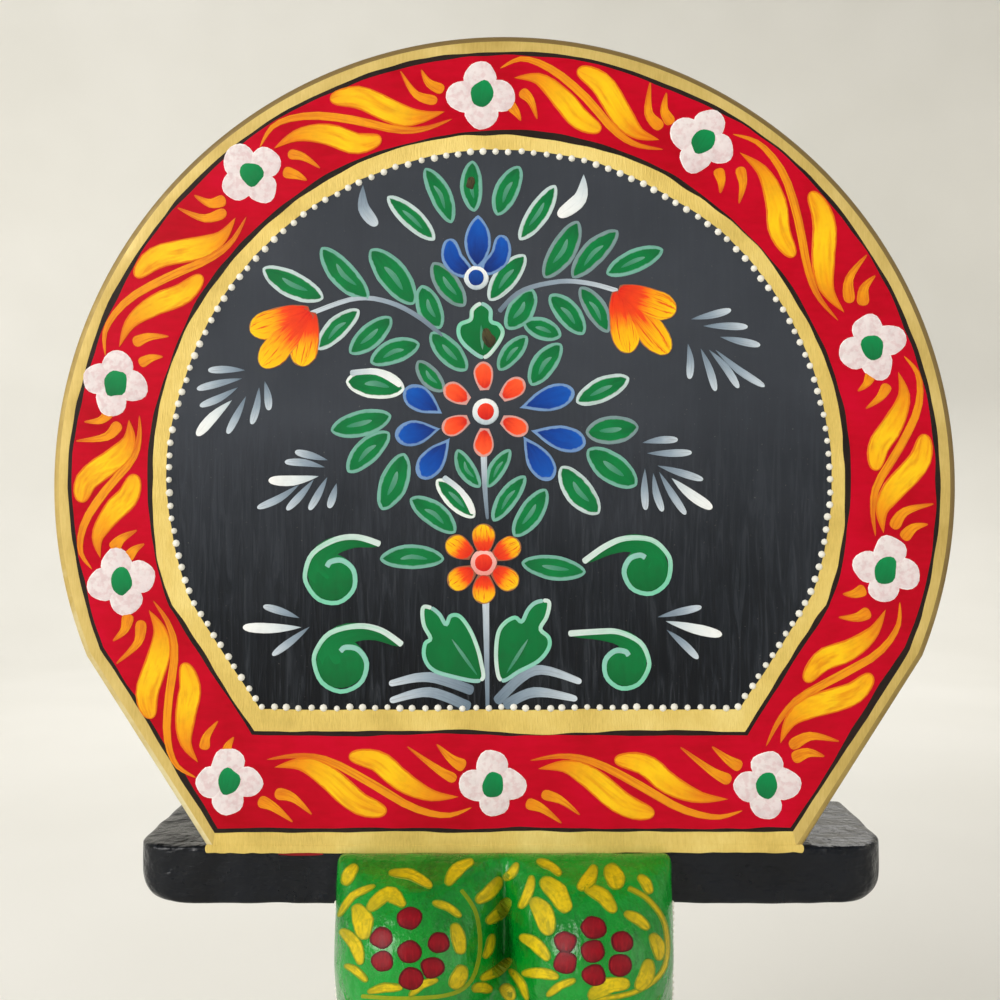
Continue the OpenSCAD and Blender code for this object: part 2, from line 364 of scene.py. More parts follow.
petal_orange = stroke_paint("petal_orange_paint", [(0.0, rgb(214, 30, 20)), (0.5, rgb(250, 76, 36)),
                            (1.0, rgb(255, 98, 50))], (0.5, rgb(214, 160, 152)), None, fine=4.0)
petal_flame = stroke_paint("petal_flame_paint", [(0.0, rgb(222, 30, 18)), (0.38, rgb(246, 72, 22)),
                           (0.6, rgb(255, 180, 10)), (1.0, rgb(255, 214, 14))],
                           (0.3, rgb(150, 96, 70)), (0.9, rgb(232, 50, 18)), fine=12.0)
stroke_grey = stroke_paint("stroke_grey_white", [(0.0, rgb(104, 122, 138)), (0.5, rgb(150, 166, 182)),
                           (1.0, rgb(214, 224, 232))], None, (0.5, rgb(92, 104, 118)), fine=7.0)
stroke_white = stroke_paint("stroke_white", [(0.0, rgb(180, 196, 206)), (0.5, rgb(230, 236, 238)),
                            (1.0, rgb(250, 250, 248))], None, (0.25, rgb(170, 186, 196)))
smear_red = stroke_paint("red_smear_paint", [(0.0, rgb(120, 16, 20)), (1.0, rgb(150, 14, 26))])
heart_red = stroke_paint("flower_heart_red", [(0.0, rgb(206, 20, 20)), (1.0, rgb(246, 66, 34))])
ring_pink = stroke_paint("flower_ring_pink", [(0.0, rgb(238, 150, 140)), (1.0, rgb(248, 190, 180))])
dot_white = coat_of_paint("raised_dot_white", [(0.3, rgb(226, 222, 208)), (0.7, rgb(250, 248, 240))], 300,
                          (0.35, 0.5))
head_yellow = stroke_paint("head_stroke_yellow", [(0.0, rgb(176, 160, 14)), (0.5, rgb(226, 196, 20)),
                           (1.0, rgb(204, 178, 16))], (0.35, rgb(120, 140, 20)),
                           (0.6, rgb(150, 146, 20)), fine=5.0, speckle=(0.45, rgb(150, 140, 24)))
head_line = stroke_paint("head_ring_line", [(0.0, rgb(120, 146, 20)), (1.0, rgb(146, 160, 24))])
rosette_red = stroke_paint("rosette_dark_red", [(0.0, rgb(106, 0, 14)), (0.5, rgb(140, 2, 22)),
                           (1.0, rgb(112, 0, 16))], (0.5, rgb(84, 0, 12)), (0.5, rgb(164, 14, 30)))
eye_white = stroke_paint("painted_eye_white", [(0.0, rgb(240, 236, 224)), (1.0, rgb(250, 248, 240))])
eye_black = stroke_paint("painted_eye_black", [(0.0, rgb(14, 12, 12)), (1.0, rgb(34, 30, 30))])


# ---- making pieces --------------------------------------------------------------------------

def deselect():
    if bpy.context.object and bpy.context.object.mode != "OBJECT":
        bpy.ops.object.mode_set(mode="OBJECT")
    bpy.ops.object.select_all(action="DESELECT")


def choose(*pieces):
    deselect()
    for piece in pieces:
        piece.select_set(True)
    bpy.context.view_layer.objects.active = pieces[0]


def settle(piece, name, material, body="rack"):
    """Puts a finished piece's place in its mesh, names it, paints it and joins it to its body."""
    choose(piece)
    bpy.ops.object.transform_apply(location=True, rotation=True, scale=True)
    piece.name = name
    piece.data.name = name
    if material:
        piece.data.materials.clear()
        piece.data.materials.append(material)
    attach(piece, body)
    return piece


def smooth(piece, degrees=40):
    choose(piece)
    bpy.ops.object.shade_smooth_by_angle(angle=math.radians(degrees))


def mesh_piece(name, corners, faces, materials, kinds=None):
    data = bpy.data.meshes.new(name)
    data.from_pydata([tuple(corner) for corner in corners], [], faces)
    for material in materials:
        data.materials.append(material)
    if kinds:
        data.polygons.foreach_set("material_index", kinds)
    data.update()
    shape = bmesh.new()
    shape.from_mesh(data)
    bmesh.ops.recalc_face_normals(shape, faces=shape.faces)
    shape.to_mesh(data)
    shape.free()
    piece = bpy.data.objects.new(name, data)
    scene.collection.objects.link(piece)
    return piece


def use_modifier(piece, kind, **values):
    choose(piece)
    made = piece.modifiers.new(kind.lower(), kind)
    for key, value in values.items():
        setattr(made, key, value)
    bpy.ops.object.modifier_apply(modifier=made.name)


def add_ball(x, y, z, radius, segments=32):
    deselect()
    bpy.ops.mesh.primitive_uv_sphere_add(segments=segments, ring_count=segments // 2,
                                         radius=radius * MM, location=(x * MM, y * MM, z * MM))
    return bpy.context.object


def add_block(low, high):
    deselect()
    middle = [(a + b) / 2 * MM for a, b in zip(low, high)]
    size = [(b - a) * MM for a, b in zip(low, high)]
    bpy.ops.mesh.primitive_cube_add(size=1, location=middle, scale=size)
    return bpy.context.object


def add_rod(x, y, z, radius, depth, sides=24):
    deselect()
    bpy.ops.mesh.primitive_cylinder_add(vertices=sides, radius=radius * MM, depth=depth * MM,
                                        location=(x * MM, y * MM, z * MM))
    return bpy.context.object


def joined(pieces):
    choose(*pieces)
    if len(pieces) > 1:
        bpy.ops.object.join()
    bpy.ops.object.transform_apply(location=True, rotation=True, scale=True)
    return bpy.context.object


def wrapped(pieces):
    """One convex skin round several pieces."""
    whole = joined(pieces)
    bpy.ops.object.mode_set(mode="EDIT")
    bpy.ops.mesh.select_all(action="SELECT")
    bpy.ops.mesh.convex_hull()
    bpy.ops.object.mode_set(mode="OBJECT")
    return whole


def carved(piece, voxel, passes, share=0.5):
    """Melts a rough shape into one smooth skin."""
    use_modifier(piece, "REMESH", mode="VOXEL", voxel_size=voxel * MM, use_smooth_shade=True)
    use_modifier(piece, "SMOOTH", factor=share, iterations=passes)


def cut_away(piece, tool):
    choose(piece)
    made = piece.modifiers.new("cut", "BOOLEAN")
    made.operation = "DIFFERENCE"
    made.solver = "EXACT"
    made.object = tool
    bpy.ops.object.modifier_apply(modifier=made.name)
    bpy.data.objects.remove(tool)


def roughen(piece, depth, size):
    """Hand-carved unevenness: points move in along their normals."""
    shape = bmesh.new()
    shape.from_mesh(piece.data)
    shape.normal_update()
    for point in shape.verts:
        lump = noise.noise(point.co / (size * MM)) * 0.5 + 0.5
        point.co -= point.normal * lump * depth * MM
    shape.to_mesh(piece.data)
    shape.free()


# ---- board outlines -------------------------------------------------------------------------

FLANK_ANGLE = math.radians(22)
FLANK_END = (ROUND_RADIUS * math.cos(FLANK_ANGLE), ROUND_CENTRE - ROUND_RADIUS * math.sin(FLANK_ANGLE))


def outline(inset=0.0, foot=0.0, shift=(0.0, 0.0), wander=0.0, seed=0.0):
    """Points round a board's outline, moved inwards, from the left foot corner round to it again."""
    run = Vector((FLANK_END[0] - FOOT_HALF, FLANK_END[1])).normalized()
    start = Vector((FOOT_HALF, 0)) + Vector((-run.y, run.x)) * inset
    radius = ROUND_RADIUS - inset
    away = start - Vector((0, ROUND_CENTRE))
    half = away.dot(run)
    reach = -half + math.sqrt(max(0.0, half * half - away.length_squared + radius * radius))
    knee = start + run * reach
    corner = start + run * ((foot - start.y) / run.y)
    points = []
    for step in range(FOOT_STEPS):
        points.append((-corner.x + 2 * corner.x * step / FOOT_STEPS, foot))
    for step in range(FLANK_STEPS):
        points.append(tuple(corner.lerp(knee, step / FLANK_STEPS)))
    first = math.atan2(knee.y - ROUND_CENTRE, knee.x)
    for step in range(ROUND_STEPS + 1):
        angle = first + (math.pi - 2 * first) * step / ROUND_STEPS
        points.append((radius * math.cos(angle), ROUND_CENTRE + radius * math.sin(angle)))
    for step in range(1, FLANK_STEPS):
        points.append((-knee.x + (knee.x - corner.x) * step / FLANK_STEPS,
                       knee.y + (corner.y - knee.y) * step / FLANK_STEPS))
    moved = []
    for x, z in points:
        out = Vector((x, z - ROUND_CENTRE)).normalized()
        slip = wander * noise.noise(Vector((x * 0.035, z * 0.035, seed)))
        slip += wander * 0.4 * noise.noise(Vector((x * 0.15, z * 0.15, seed + 5)))
        moved.append((x + shift[0] + out.x * slip, z + shift[1] + out.y * slip))
    return moved


def board(name, rear, front, rings, materials, edge_kinds, rear_kind, foot_kind=None):
    """A board with rounded edges whose front face is divided into painted bands."""
    depth = rear - front
    sides = [(0.85, rear), (0.05, rear - 0.8), (0.05, front + depth * 0.45), (0.05, front + 2.0),
             (0.3, front + 0.95), (0.9, front + 0.3), (1.9, front)]
    corners = []
    loops = []
    for inset, y in sides:
        loops.append([(x, y, z + LEDGE_TOP) for x, z in outline(inset, 0.0)])
    for line in rings:
        loops.append([(x, front, z + LEDGE_TOP) for x, z in line])
    count = len(loops[0])
    for loop in loops:
        corners += [Vector(point) * MM for point in loop]
    faces = [list(range(count))]
    kinds = [rear_kind]
    band = list(edge_kinds)
    for index in range(len(loops) - 1):
        for step in range(count):
            following = (step + 1) % count
            faces.append((index * count + step, index * count + following,
                          (index + 1) * count + following, (index + 1) * count + step))
            # Painted highlight: along the foot the rim's gold band takes the lighter inner gold, standing
            # for light falling on the lower edge.
            painted_lit_foot = foot_kind is not None and index == len(sides) - 1 and step < FOOT_STEPS
            kinds.append(foot_kind if painted_lit_foot else band[index])
    last = (len(loops) - 1) * count
    faces.append([last + step for step in range(count)])
    kinds.append(band[-1])
    return mesh_piece(name, corners, faces, materials, kinds)


# ---- brush strokes --------------------------------------------------------------------------

families = {}


def family_of(name):
    return families.setdefault(name, {"corners": [], "faces": [], "brush": []})


def add_shell(family, corners, brush, around):
    """Adds one closed skin, made of rings of the same number of corners, to a family of marks."""
    store = family_of(family)
    base = len(store["corners"])
    rings = len(corners) // around
    store["corners"] += corners
    store["brush"] += brush
    for ring in range(rings - 1):
        start = base + ring * around
        for place in range(around):
            beside = (place + 1) % around
            store["faces"].append((start + place, start + beside, start + around + beside,
                                   start + around + place))
    store["faces"].append([base + place for place in range(around)])
    store["faces"].append([base + (rings - 1) * around + place for place in range(around)])


def on_panel(x, z, proud):
    return Vector((x, LEDGE_FRONT - proud, z + LEDGE_TOP)) * MM


def curve_point(points, share):
    """A smooth curve through the points, at a share of its length."""
    if len(points) == 2:
        return Vector(points[0]).lerp(Vector(points[1]), share)
    place = min(share, 0.99999) * (len(points) - 1)
    index = int(place)
    part = place - index
    before = Vector(points[max(index - 1, 0)])
    start = Vector(points[index])
    end = Vector(points[index + 1])
    after = Vector(points[min(index + 2, len(points) - 1)])
    return 0.5 * (2 * start + (end - before) * part + (2 * before - 5 * start + 4 * end - after)
                  * part ** 2 + (3 * start - before - 3 * end + after) * part ** 3)


def between(values, share):
    if isinstance(values, (int, float)):
        return values
    place = min(share, 0.99999) * (len(values) - 1)
    index = int(place)
    return values[index] + (values[index + 1] - values[index]) * (place - index)


def shape_of(kind, share, rounding=0.1):
    """Half width of a stroke at a share of its length, from 0 to 1."""
    if kind == "leaf":
        return math.sin(math.pi * share) ** 0.68
    if kind == "crescent":
        return math.sin(math.pi * share) ** 0.42
    if kind == "drop":
        if share < 0.64:
            return math.sin(math.pi / 2 * share / 0.64) ** 1.1
        return math.sqrt(max(0.0, 1 - ((share - 0.64) / 0.36) ** 2))
    if kind == "petal":
        if share < 0.6:
            return 0.45 + 0.55 * math.sin(math.pi / 2 * share / 0.6)
        return math.sqrt(max(0.0, 1 - ((share - 0.6) / 0.4) ** 2))
    if kind == "taper":
        if share < 0.2:
            return math.sqrt(max(0.0, 1 - (1 - share / 0.2) ** 2))
        return 1 - 0.9 * ((share - 0.2) / 0.8) ** 1.2
    if kind == "tulip":
        return (0.4 + 0.6 * math.sin(math.pi / 2 * min(1, share / 0.55))) * min(1, (1 - share) * 4) ** 0.5
    if share < rounding:
        return math.sqrt(max(0.0, 1 - (1 - share / rounding) ** 2))
    if share > 1 - rounding:
        return math.sqrt(max(0.0, 1 - ((share - 1 + rounding) / rounding) ** 2))
    return 1.0


def stroke(family, points, half, kind="line", layer=1, tone=0.5, steps=12, canvas=on_panel, rough=0.05):
    """A closed, slightly raised ribbon of paint along a path, in mm."""
    shares = [0.5 - 0.5 * math.cos(math.pi * step / steps) for step in range(steps + 1)]
    path = [curve_point(points, share) for share in shares]
    length = sum((b - a).length for a, b in zip(path, path[1:]))
    rounding = min(0.25, between(half, 0.5) / max(length, 0.1))
    top = PAINT_BASE + PAINT_STEP * layer + chance.uniform(0, 0.02)
    seed = chance.uniform(0, 90)
    section = ((-1, PAINT_SUNK), (-0.93, top * 0.9), (0, top), (0.93, top * 0.9), (1, PAINT_SUNK))
    corners = []
    brush = []
    for index, (share, middle) in enumerate(zip(shares, path)):
        run = path[min(index + 1, steps)] - path[max(index - 1, 0)]
        run = run.normalized() if run.length > 1e-9 else Vector((1, 0))
        across = Vector((-run.y, run.x))
        width = max(0.05, between(half, share) * shape_of(kind, share, rounding))
        end = max(0.0, min(share, 1 - share)) * length
        for part, height in section:
            slip = 1 + rough * noise.noise(Vector((seed + part, share * length * 0.35, 0)))
            spot = middle + across * width * part * slip
            corner = canvas(spot.x, spot.y, height)
            if corner is None:
                return False
            corners.append(corner)
            rim = min(width * (1 - abs(part)), end)
            brush.append((share, part * 0.5 + 0.5, min(1.0, rim / 5), tone))
    add_shell(family, corners, brush, len(section))
    return True


def blob(family, x, z, across, tall, turn=0.0, layer=1, dome=0.0, tone=0.5, sides=20, canvas=on_panel,
         uneven=0.06):
    """A round or oval daub of paint, with a domed top if wanted."""
    top = PAINT_BASE + PAINT_STEP * layer + chance.uniform(0, 0.02)
    spin = math.radians(turn)
    seed = chance.uniform(0, 90)
    corners = []
    brush = []
    radius = min(across, tall)
    section = ((1.0, PAINT_SUNK), (0.93, top * 0.8), (0.6, top + dome * 0.8), (0.25, top + dome))
    for part, height in section:
        for side in range(sides):
            angle = 2 * math.pi * side / sides
            slip = 1 + uneven * noise.noise(Vector((math.cos(angle), math.sin(angle), seed)))
            right = across * part * math.cos(angle) * slip
            up = tall * part * math.sin(angle) * slip
            corner = canvas(x + right * math.cos(spin) - up * math.sin(spin),
                            z + right * math.sin(spin) + up * math.cos(spin), height)
            if corner is None:
                return False
            corners.append(corner)
            brush.append((0.5 + 0.5 * part * math.sin(angle), 0.5 + 0.5 * part * math.cos(angle),
                          min(1.0, radius * (1 - part) / 5), tone))
    add_shell(family, corners, brush, sides)
    return True


def patch(family, points, layer=1, tone=0.5, samples=60, canvas=on_panel):
    """A flat daub with any outline, given as places round it."""
    top = PAINT_BASE + PAINT_STEP * layer
    count = len(points)
    ring = []
    for step in range(samples):
        place = step / samples * count
        index = int(place)
        around = [points[(index + offset) % count] for offset in (-1, 0, 1, 2)]
        ring.append(curve_point(around, (1 + place - index) / 3))
    middle = sum(ring, Vector((0, 0))) / samples
    corners = []
    brush = []
    for height in (PAINT_SUNK, top):
        for spot in ring:
            corners.append(canvas(spot.x, spot.y, height))
            out = spot - middle
            brush.append((0.5 + out.y / 30, 0.5 + out.x / 30, 0.0, tone))
    add_shell(family, corners, brush, samples)
    return ring


def lay_paint(family, material, body="rack", domed=False):
    """Makes one piece of all the marks in a family."""
    store = families[family]
    piece = mesh_piece(family, store["corners"], store["faces"], [material])
    colours = piece.data.attributes.new("brush", "FLOAT_COLOR", "POINT")
    colours.data.foreach_set("color", [value for four in store["brush"] for value in four])
    for face in piece.data.polygons:
        face.use_smooth = domed
    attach(piece, body)
    return piece


# ---- camera, floor and light ----------------------------------------------------------------

sight = bpy.data.cameras.new("camera")
camera = bpy.data.objects.new("camera", sight)
scene.collection.objects.link(camera)
camera.location = (0.0041, -0.331, 0.0983)
camera.rotation_euler = (math.radians(90), 0, 0)
sight.sensor_width = 36
sight.lens = 38.73
sight.shift_x = -0.020
sight.shift_y = 0.005
sight.clip_start = 0.01
scene.camera = camera
scene.view_settings.view_transform = "Standard"


def plain_surround():
    finish = Finish("pale_surround")
    tone = finish.noise(3, detail=2.0)
    colour = finish.ramp(tone, [(0.3, rgb(231, 229, 222)), (0.7, rgb(238, 236, 230))])
    return finish.done(colour, finish.span(tone, 0, 1, 0.8, 0.95))


def floor_bowl():
    """A round floor whose edge curves up into a wall far behind and around the rack."""
    floor_z = cad_low.z - 0.0003
    deselect()
    bpy.ops.mesh.primitive_circle_add(vertices=96, radius=1.4, fill_type="NGON",
                                      location=(0, 0, floor_z))
    bowl = bpy.context.object
    radius = 1.4
    height = 0.0
    bpy.ops.object.mode_set(mode="EDIT")
    bpy.ops.mesh.select_mode(type="EDGE")
    bpy.ops.mesh.select_all(action="SELECT")
    bpy.ops.mesh.region_to_loop()
    for step in range(1, 15):
        angle = math.radians(min(step, 12) * 7.5)
        new_radius = 1.4 + 0.9 * math.sin(angle)
        new_height = 0.9 * (1 - math.cos(angle)) + max(0, step - 12) * 1.0
        bpy.ops.mesh.extrude_region_move(TRANSFORM_OT_translate={"value": (0, 0, new_height - height)})
        grow = new_radius / radius
        if grow != 1:
            bpy.ops.transform.resize(value=(grow, grow, 1), center_override=(0, 0, 0))
        radius = new_radius
        height = new_height
    bpy.ops.object.mode_set(mode="OBJECT")
    bpy.ops.object.shade_smooth()
    bowl.name = "surround"
    bowl.data.materials.append(plain_surround())


def lamp(name, place, aim, size, power, colour):
    light = bpy.data.lights.new(name, "AREA")
    light.shape = "DISK"
    light.size = size
    light.energy = power
    light.color = colour
    holder = bpy.data.objects.new(name, light)
    scene.collection.objects.link(holder)
    holder.location = place
    holder.rotation_euler = (Vector(aim) - Vector(place)).to_track_quat("-Z", "Y").to_euler()


floor_bowl()
lamp("window", (-1.2, -1.1, 0.8), (0, 0, 0.03), 1.0, 19.5, (1.0, 0.99, 0.97))
lamp("room", (1.3, -0.9, 0.4), (0, 0, 0.03), 1.2, 3.4, (1.0, 0.98, 0.95))
lamp("behind", (0.5, 1.4, 1.2), (0, 0, 0.0), 1.2, 10, (1.0, 0.98, 0.96))
lamp("wall_wash", (-0.4, 0.7, 1.3), (-1.2, 2.2, 0.2), 0.8, 6.5, (1.0, 0.985, 0.965))
world = bpy.data.worlds.new("daylight")
world.use_nodes = True
world.node_tree.nodes["Background"].inputs["Color"].default_value = (0.97, 0.985, 1.0, 1)
world.node_tree.nodes["Background"].inputs["Strength"].default_value = 0.44
scene.world = world


# ---- the two boards -------------------------------------------------------------------------

def make_boards():
    bands = [outline(4.5, 3.7, (0, 0), 0.7, 1), outline(5.6, 4.7, (0, 0), 0.9, 2),
             outline(26.7, 28.1, (-1.4, 1.2), 0.8, 3), outline(27.8, 29.1, (-1.4, 1.2), 1.0, 4),
             outline(32.0, 34.5, (-1.3, 1.7), 0.7, 5)]
    kinds = [1, 1, 1, 0, 0, 0, 2, 3, 4, 3, 6, 5]
    # The last argument puts the lighter inner gold on the rim's foot, a painted highlight.
    front = board("front_panel_painted", PANEL_REAR, LEDGE_FRONT, bands,
                  [rim_edge, side_black, rim_gold, line_black, band_red, field_lacquer, inner_gold],
                  kinds, 1, 6)
    smooth(front, 35)
    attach(front, "rack")
    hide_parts("front_panel")
    bands = [outline(4.5, 4.5, (0, 0), 0.7, 6)]
    rear = board("back_board_painted", BOARD_REAR, BOARD_FRONT, bands,
                 [rim_gold, side_black, rear_wood], [1, 1, 1, 1, 1, 1, 0, 1], 2)
    smooth(rear, 35)
    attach(rear, "rack")
    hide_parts("back_board")


make_boards()


# ---- painted border -------------------------------------------------------------------------

BORDER_FLOWERS = [(-6, 199, 0), (52.5, 186.5, -25), (97.5, 132, 18), (101, 73, -8), (69.5, 16, 0),
                  (-3, 16.5, 0), (-73, 17, 0), (-101.5, 70, 15), (-103, 122.5, -10), (-67, 178, 40)]


def band_place(first, second, share, out):
    """A place in the red band between two border flowers: out is 1 at the rim, -1 at the field."""
    if min(first[1], second[1]) > 40:
        start = math.atan2(first[1] - ROUND_CENTRE, first[0])
        turn = math.atan2(second[1] - ROUND_CENTRE, second[0]) - start
        if turn > 0:
            turn -= 2 * math.pi
        radius = BAND_RADIUS + out * BAND_HALF
        angle = start + turn * share
        return (radius * math.cos(angle), ROUND_CENTRE + radius * math.sin(angle))
    start = Vector(first[:2])
    run = Vector(second[:2]) - start
    side = Vector((-run.y, run.x)).normalized()
    bulge = 0.0
    if abs(run.y) > 20:
        bulge = 2.5 * math.sin(math.pi * share)
    spot = start + run * share + side * (out * BAND_HALF + bulge)
    return (spot.x, spot.y)


def border_gap(first, second):
    """The long strokes, two fat leaves and four small strokes between two border flowers."""
    def along(points):
        drift = chance.uniform(-0.008, 0.008)
        return [band_place(first, second, share + drift, out + chance.uniform(-0.03, 0.03))
                for share, out in points]
    stroke("border_strokes", along([(0.085, 0.62), (0.18, 0.84), (0.31, 0.62), (0.46, 0.05),
                                    (0.62, -0.56), (0.74, -0.7), (0.86, -0.575)]),
           1.15, "leaf", 1, steps=24)
    stroke("border_leaves", along([(0.83, -0.37), (0.73, -0.43), (0.64, -0.19), (0.513, 0.52),
                                   (0.405, 0.74)]), 3.3, "drop", 2, steps=22)
    stroke("border_leaves", along([(0.14, 0.36), (0.245, 0.33), (0.352, -0.04), (0.445, -0.52),
                                   (0.555, -0.65)]), 3.1, "drop", 2, steps=22)
    small = [[(0.817, -0.11), (0.738, 0.16), (0.70, 0.87)], [(0.853, 0.14), (0.80, 0.37), (0.78, 0.77)],
             [(0.17, 0.04), (0.217, -0.22), (0.253, -0.67)], [(0.107, -0.28), (0.146, -0.5), (0.17, -0.76)]]
    if abs(first[1] - second[1]) < 3 and first[1] < 40:
        small = [[(0.887, 0.47), (0.83, 0.62), (0.757, 1.0)], [(0.829, 0.25), (0.76, 0.42), (0.689, 0.8)],
                 [(0.134, -0.1), (0.2, -0.35), (0.319, -0.94)],
                 [(0.101, -0.44), (0.15, -0.62), (0.209, -0.99)]]
    for points in small:
        stroke("border_strokes", along(points), chance.uniform(1.4, 1.8), "taper", 1, steps=14)


def border_flower(x, z, turn):
    for petal in range(4):
        angle = math.radians(turn + 90 * petal + chance.uniform(-5, 5))
        reach = 4.65 + chance.uniform(-0.3, 0.3)
        blob("border_petals", x + reach * math.cos(angle), z + reach * math.sin(angle),
             4.35 + chance.uniform(-0.25, 0.2), 4.4, chance.uniform(0, 90), 2, uneven=0.16)
    blob("border_petals", x, z, 3.8, 3.8, 0, 2)
    blob("flower_centres", x, z, 3.1, 3.8, turn - 10, 4, uneven=0.25)


def paint_border():
    """Each border flower and the gap that follows it, round the band."""
    for index, first in enumerate(BORDER_FLOWERS):
        border_gap(first, BORDER_FLOWERS[(index + 1) % len(BORDER_FLOWERS)])
        border_flower(*first)


def dots_round_field():
    line = [Vector(point) for point in outline(32.5, 35.0, (-1.3, 1.7), 0.5, 5)]
    line.append(line[0])
    gap = 3.35
    left = 0.2
    for start, end in zip(line, line[1:]):
        run = (end - start).length
        place = left
        while place < run:
            spot = start.lerp(end, place / run)
            size = 0.95 + chance.uniform(-0.12, 0.1)
            blob("field_dots", spot.x + chance.uniform(-0.15, 0.15), spot.y + chance.uniform(-0.2, 0.2),
                 size, size, 0, 1, 0.45, sides=8)
            place += gap + chance.uniform(-0.2, 0.2)
        left = place - run


# ---- painted bouquet on the black field -----------------------------------------------------

MINT = 0.05
GREY = 0.33
PALE = 0.66
WHITE = 1.0

FIELD_LEAVES = [
    (-31, 172, -18.5, 160.5, 5.6, PALE), (-21, 179.5, -14, 165, 5.8, MINT),
    (-8.5, 181.5, -8, 168, 5.8, MINT), (4, 180, -2, 167, 6.4, MINT),
    (13.5, 175, 4, 160.5, 5.8, PALE), (19.5, 165.5, 10.5, 150.5, 6.9, GREY),
    (30, 163, 18, 150.5, 6.4, GREY), (42, 158, 27, 151.5, 6.1, MINT),
    (5.5, 156.5, -4, 144.5, 6.4, PALE), (7.5, 147.5, 0.5, 137, 6.9, MINT),
    (12, 146, 21, 135.5, 6.4, MINT), (20, 148, 27.5, 136, 5.8, GREY),
    (5, 138.5, 15, 135, 5.8, MINT), (6, 135, -1.5, 126, 5.3, MINT),
    (15, 133, 7, 122, 6.4, MINT), (-19, 154.5, -10.5, 143, 6.4, GREY),
    (-22, 148.5, -17, 137, 6.6, MINT), (-19.5, 136, -10, 126, 6.4, MINT),
    (-23, 128.5, -16, 120.5, 5.3, GREY), (-22.5, 133, -35.5, 128, 6.4, MINT),
    (-30, 140, -41, 130.5, 6.4, MINT), (-38.5, 142, -49.5, 131.5, 5.8, PALE),
    (-35.5, 158, -24, 143.5, 7.9, MINT), (-48.5, 158.5, -36, 145, 6.9, MINT),
    (-64, 153, -48, 145, 6.9, PALE), (-30, 114, -46, 110, 6.9, MINT),
    (-30.5, 109.5, -41.5, 99, 6.6, MINT), (-26.5, 104, -32.5, 89, 7.4, MINT),
    (-25, 92, -13, 83, 6.4, MINT), (-12.5, 105, -6.5, 95, 4.8, MINT),
    (1.5, 105, -4.5, 95, 4.5, MINT), (5.5, 98, -3, 86, 5.3, MINT),
    (11, 94.5, 2.5, 82, 6.4, MINT), (15, 100.5, 25, 88, 7.4, PALE),
    (22, 105, 35, 95.5, 7.9, MINT), (35.5, 111, 21.5, 109.5, 7.4, GREY),
    (33, 124, 19, 117.5, 6.4, PALE), (-33, 76, -16, 76, 6.4, MINT),
    (4.5, 75, 21.5, 72.5, 6.4, MINT), (-42, 123, -26.5, 121, 7.9, WHITE),
    (-18, 97, -8, 87, 5.8, WHITE)]

BLUE_PETALS = [(-16.5, 114.5, -26.5, 121), (-17, 110.5, -29, 108.5), (-14.5, 108, -22.5, 97.5),
               (4, 116, 18.5, 120.5), (7, 110, 21.5, 106.5), (5, 108.5, 12.5, 97)]

# Feather strokes: pointed end, round end, and 1 where the stroke is a big white one
FEATHERS = [
    (-68.8, 126, -78.5, 126, 0), (-69.6, 123.8, -81.5, 121, 0), (-70.7, 121.4, -80.7, 116.5, 0),
    (-72.3, 118, -81.5, 108.7, 1), (-68.5, 119, -73.4, 109.2, 0), (-65, 121.4, -67, 111.7, 0),
    (-63.5, 123, -62.4, 115.4, 0), (-46.9, 102.2, -55.5, 104.4, 0), (-47.7, 100.3, -58.2, 101.7, 0),
    (-49.3, 97.9, -62.5, 96.8, 1), (-54.4, 95.7, -65.5, 89.5, 0), (-50.6, 97, -57.7, 89, 0),
    (-47, 97.6, -51.7, 89, 0), (-44.5, 96, -46.5, 89.5, 0), (49.5, 139.5, 60, 142, 0),
    (52.7, 137.7, 64.4, 137.5, 0), (57.2, 134.8, 67.7, 132.6, 0), (48.6, 133, 49, 123.7, 0),
    (52, 131.7, 55.9, 120.5, 0), (54.2, 131.4, 62, 121.3, 0), (55.9, 131.4, 68.9, 121.7, 0),
    (36.6, 106.8, 45.9, 107.6, 0), (37.8, 104, 49.6, 104.2, 0), (40.6, 100.7, 52.6, 97, 0),
    (44.3, 97.4, 55, 89.4, 1), (41, 99, 48, 87.8, 0), (39.4, 98.7, 41.9, 88.6, 0),
    (37.2, 99.9, 37.4, 89, 0), (-54.4, 60.4, -63.9, 63.5, 0), (-53.9, 57.9, -69.3, 57.9, 1),
    (-51.7, 58, -61.5, 50.5, 0), (40.6, 60.6, 52.2, 63.3, 0), (42.8, 59.5, 57.6, 55.9, 1),
    (43, 57.2, 51.3, 49.6, 0)]

GRASS = [[(-8.2, 41), (-19.9, 44.7), (-30.6, 42.9)], [(-9, 36.7), (-19.9, 40.7), (-30.4, 38.4)],
         [(-2.4, 38), (7.9, 46.5), (20.4, 43.4)], [(-0.2, 37), (7.9, 40.7), (19.3, 38.9)]]


def leaf(tip_x, tip_z, base_x, base_z, width, tone):
    tip = Vector((tip_x, tip_z))
    base = Vector((base_x, base_z))
    run = base - tip
    side = Vector((-run.y, run.x)).normalized()
    middle = tip.lerp(base, 0.5) + side * chance.uniform(-0.7, 0.7)
    if tone == WHITE:
        stroke("leaf_greens", [tip, middle, base], width * 0.53, "leaf", 1, tone, 16)
        stroke("white_strokes", [tip + run * 0.05 + side * width * 0.3, middle + side * width * 0.38,
                                 base - run * 0.06 + side * width * 0.1], 0.8, "line", 3, steps=14)
    else:
        stroke("leaf_greens", [tip, middle, base], width * 0.53, "leaf", 1, tone, 16)
    stroke("leaf_ribs", [tip.lerp(base, 0.32), middle, tip.lerp(base, 0.74)], width * 0.1, "leaf", 2,
           steps=10)


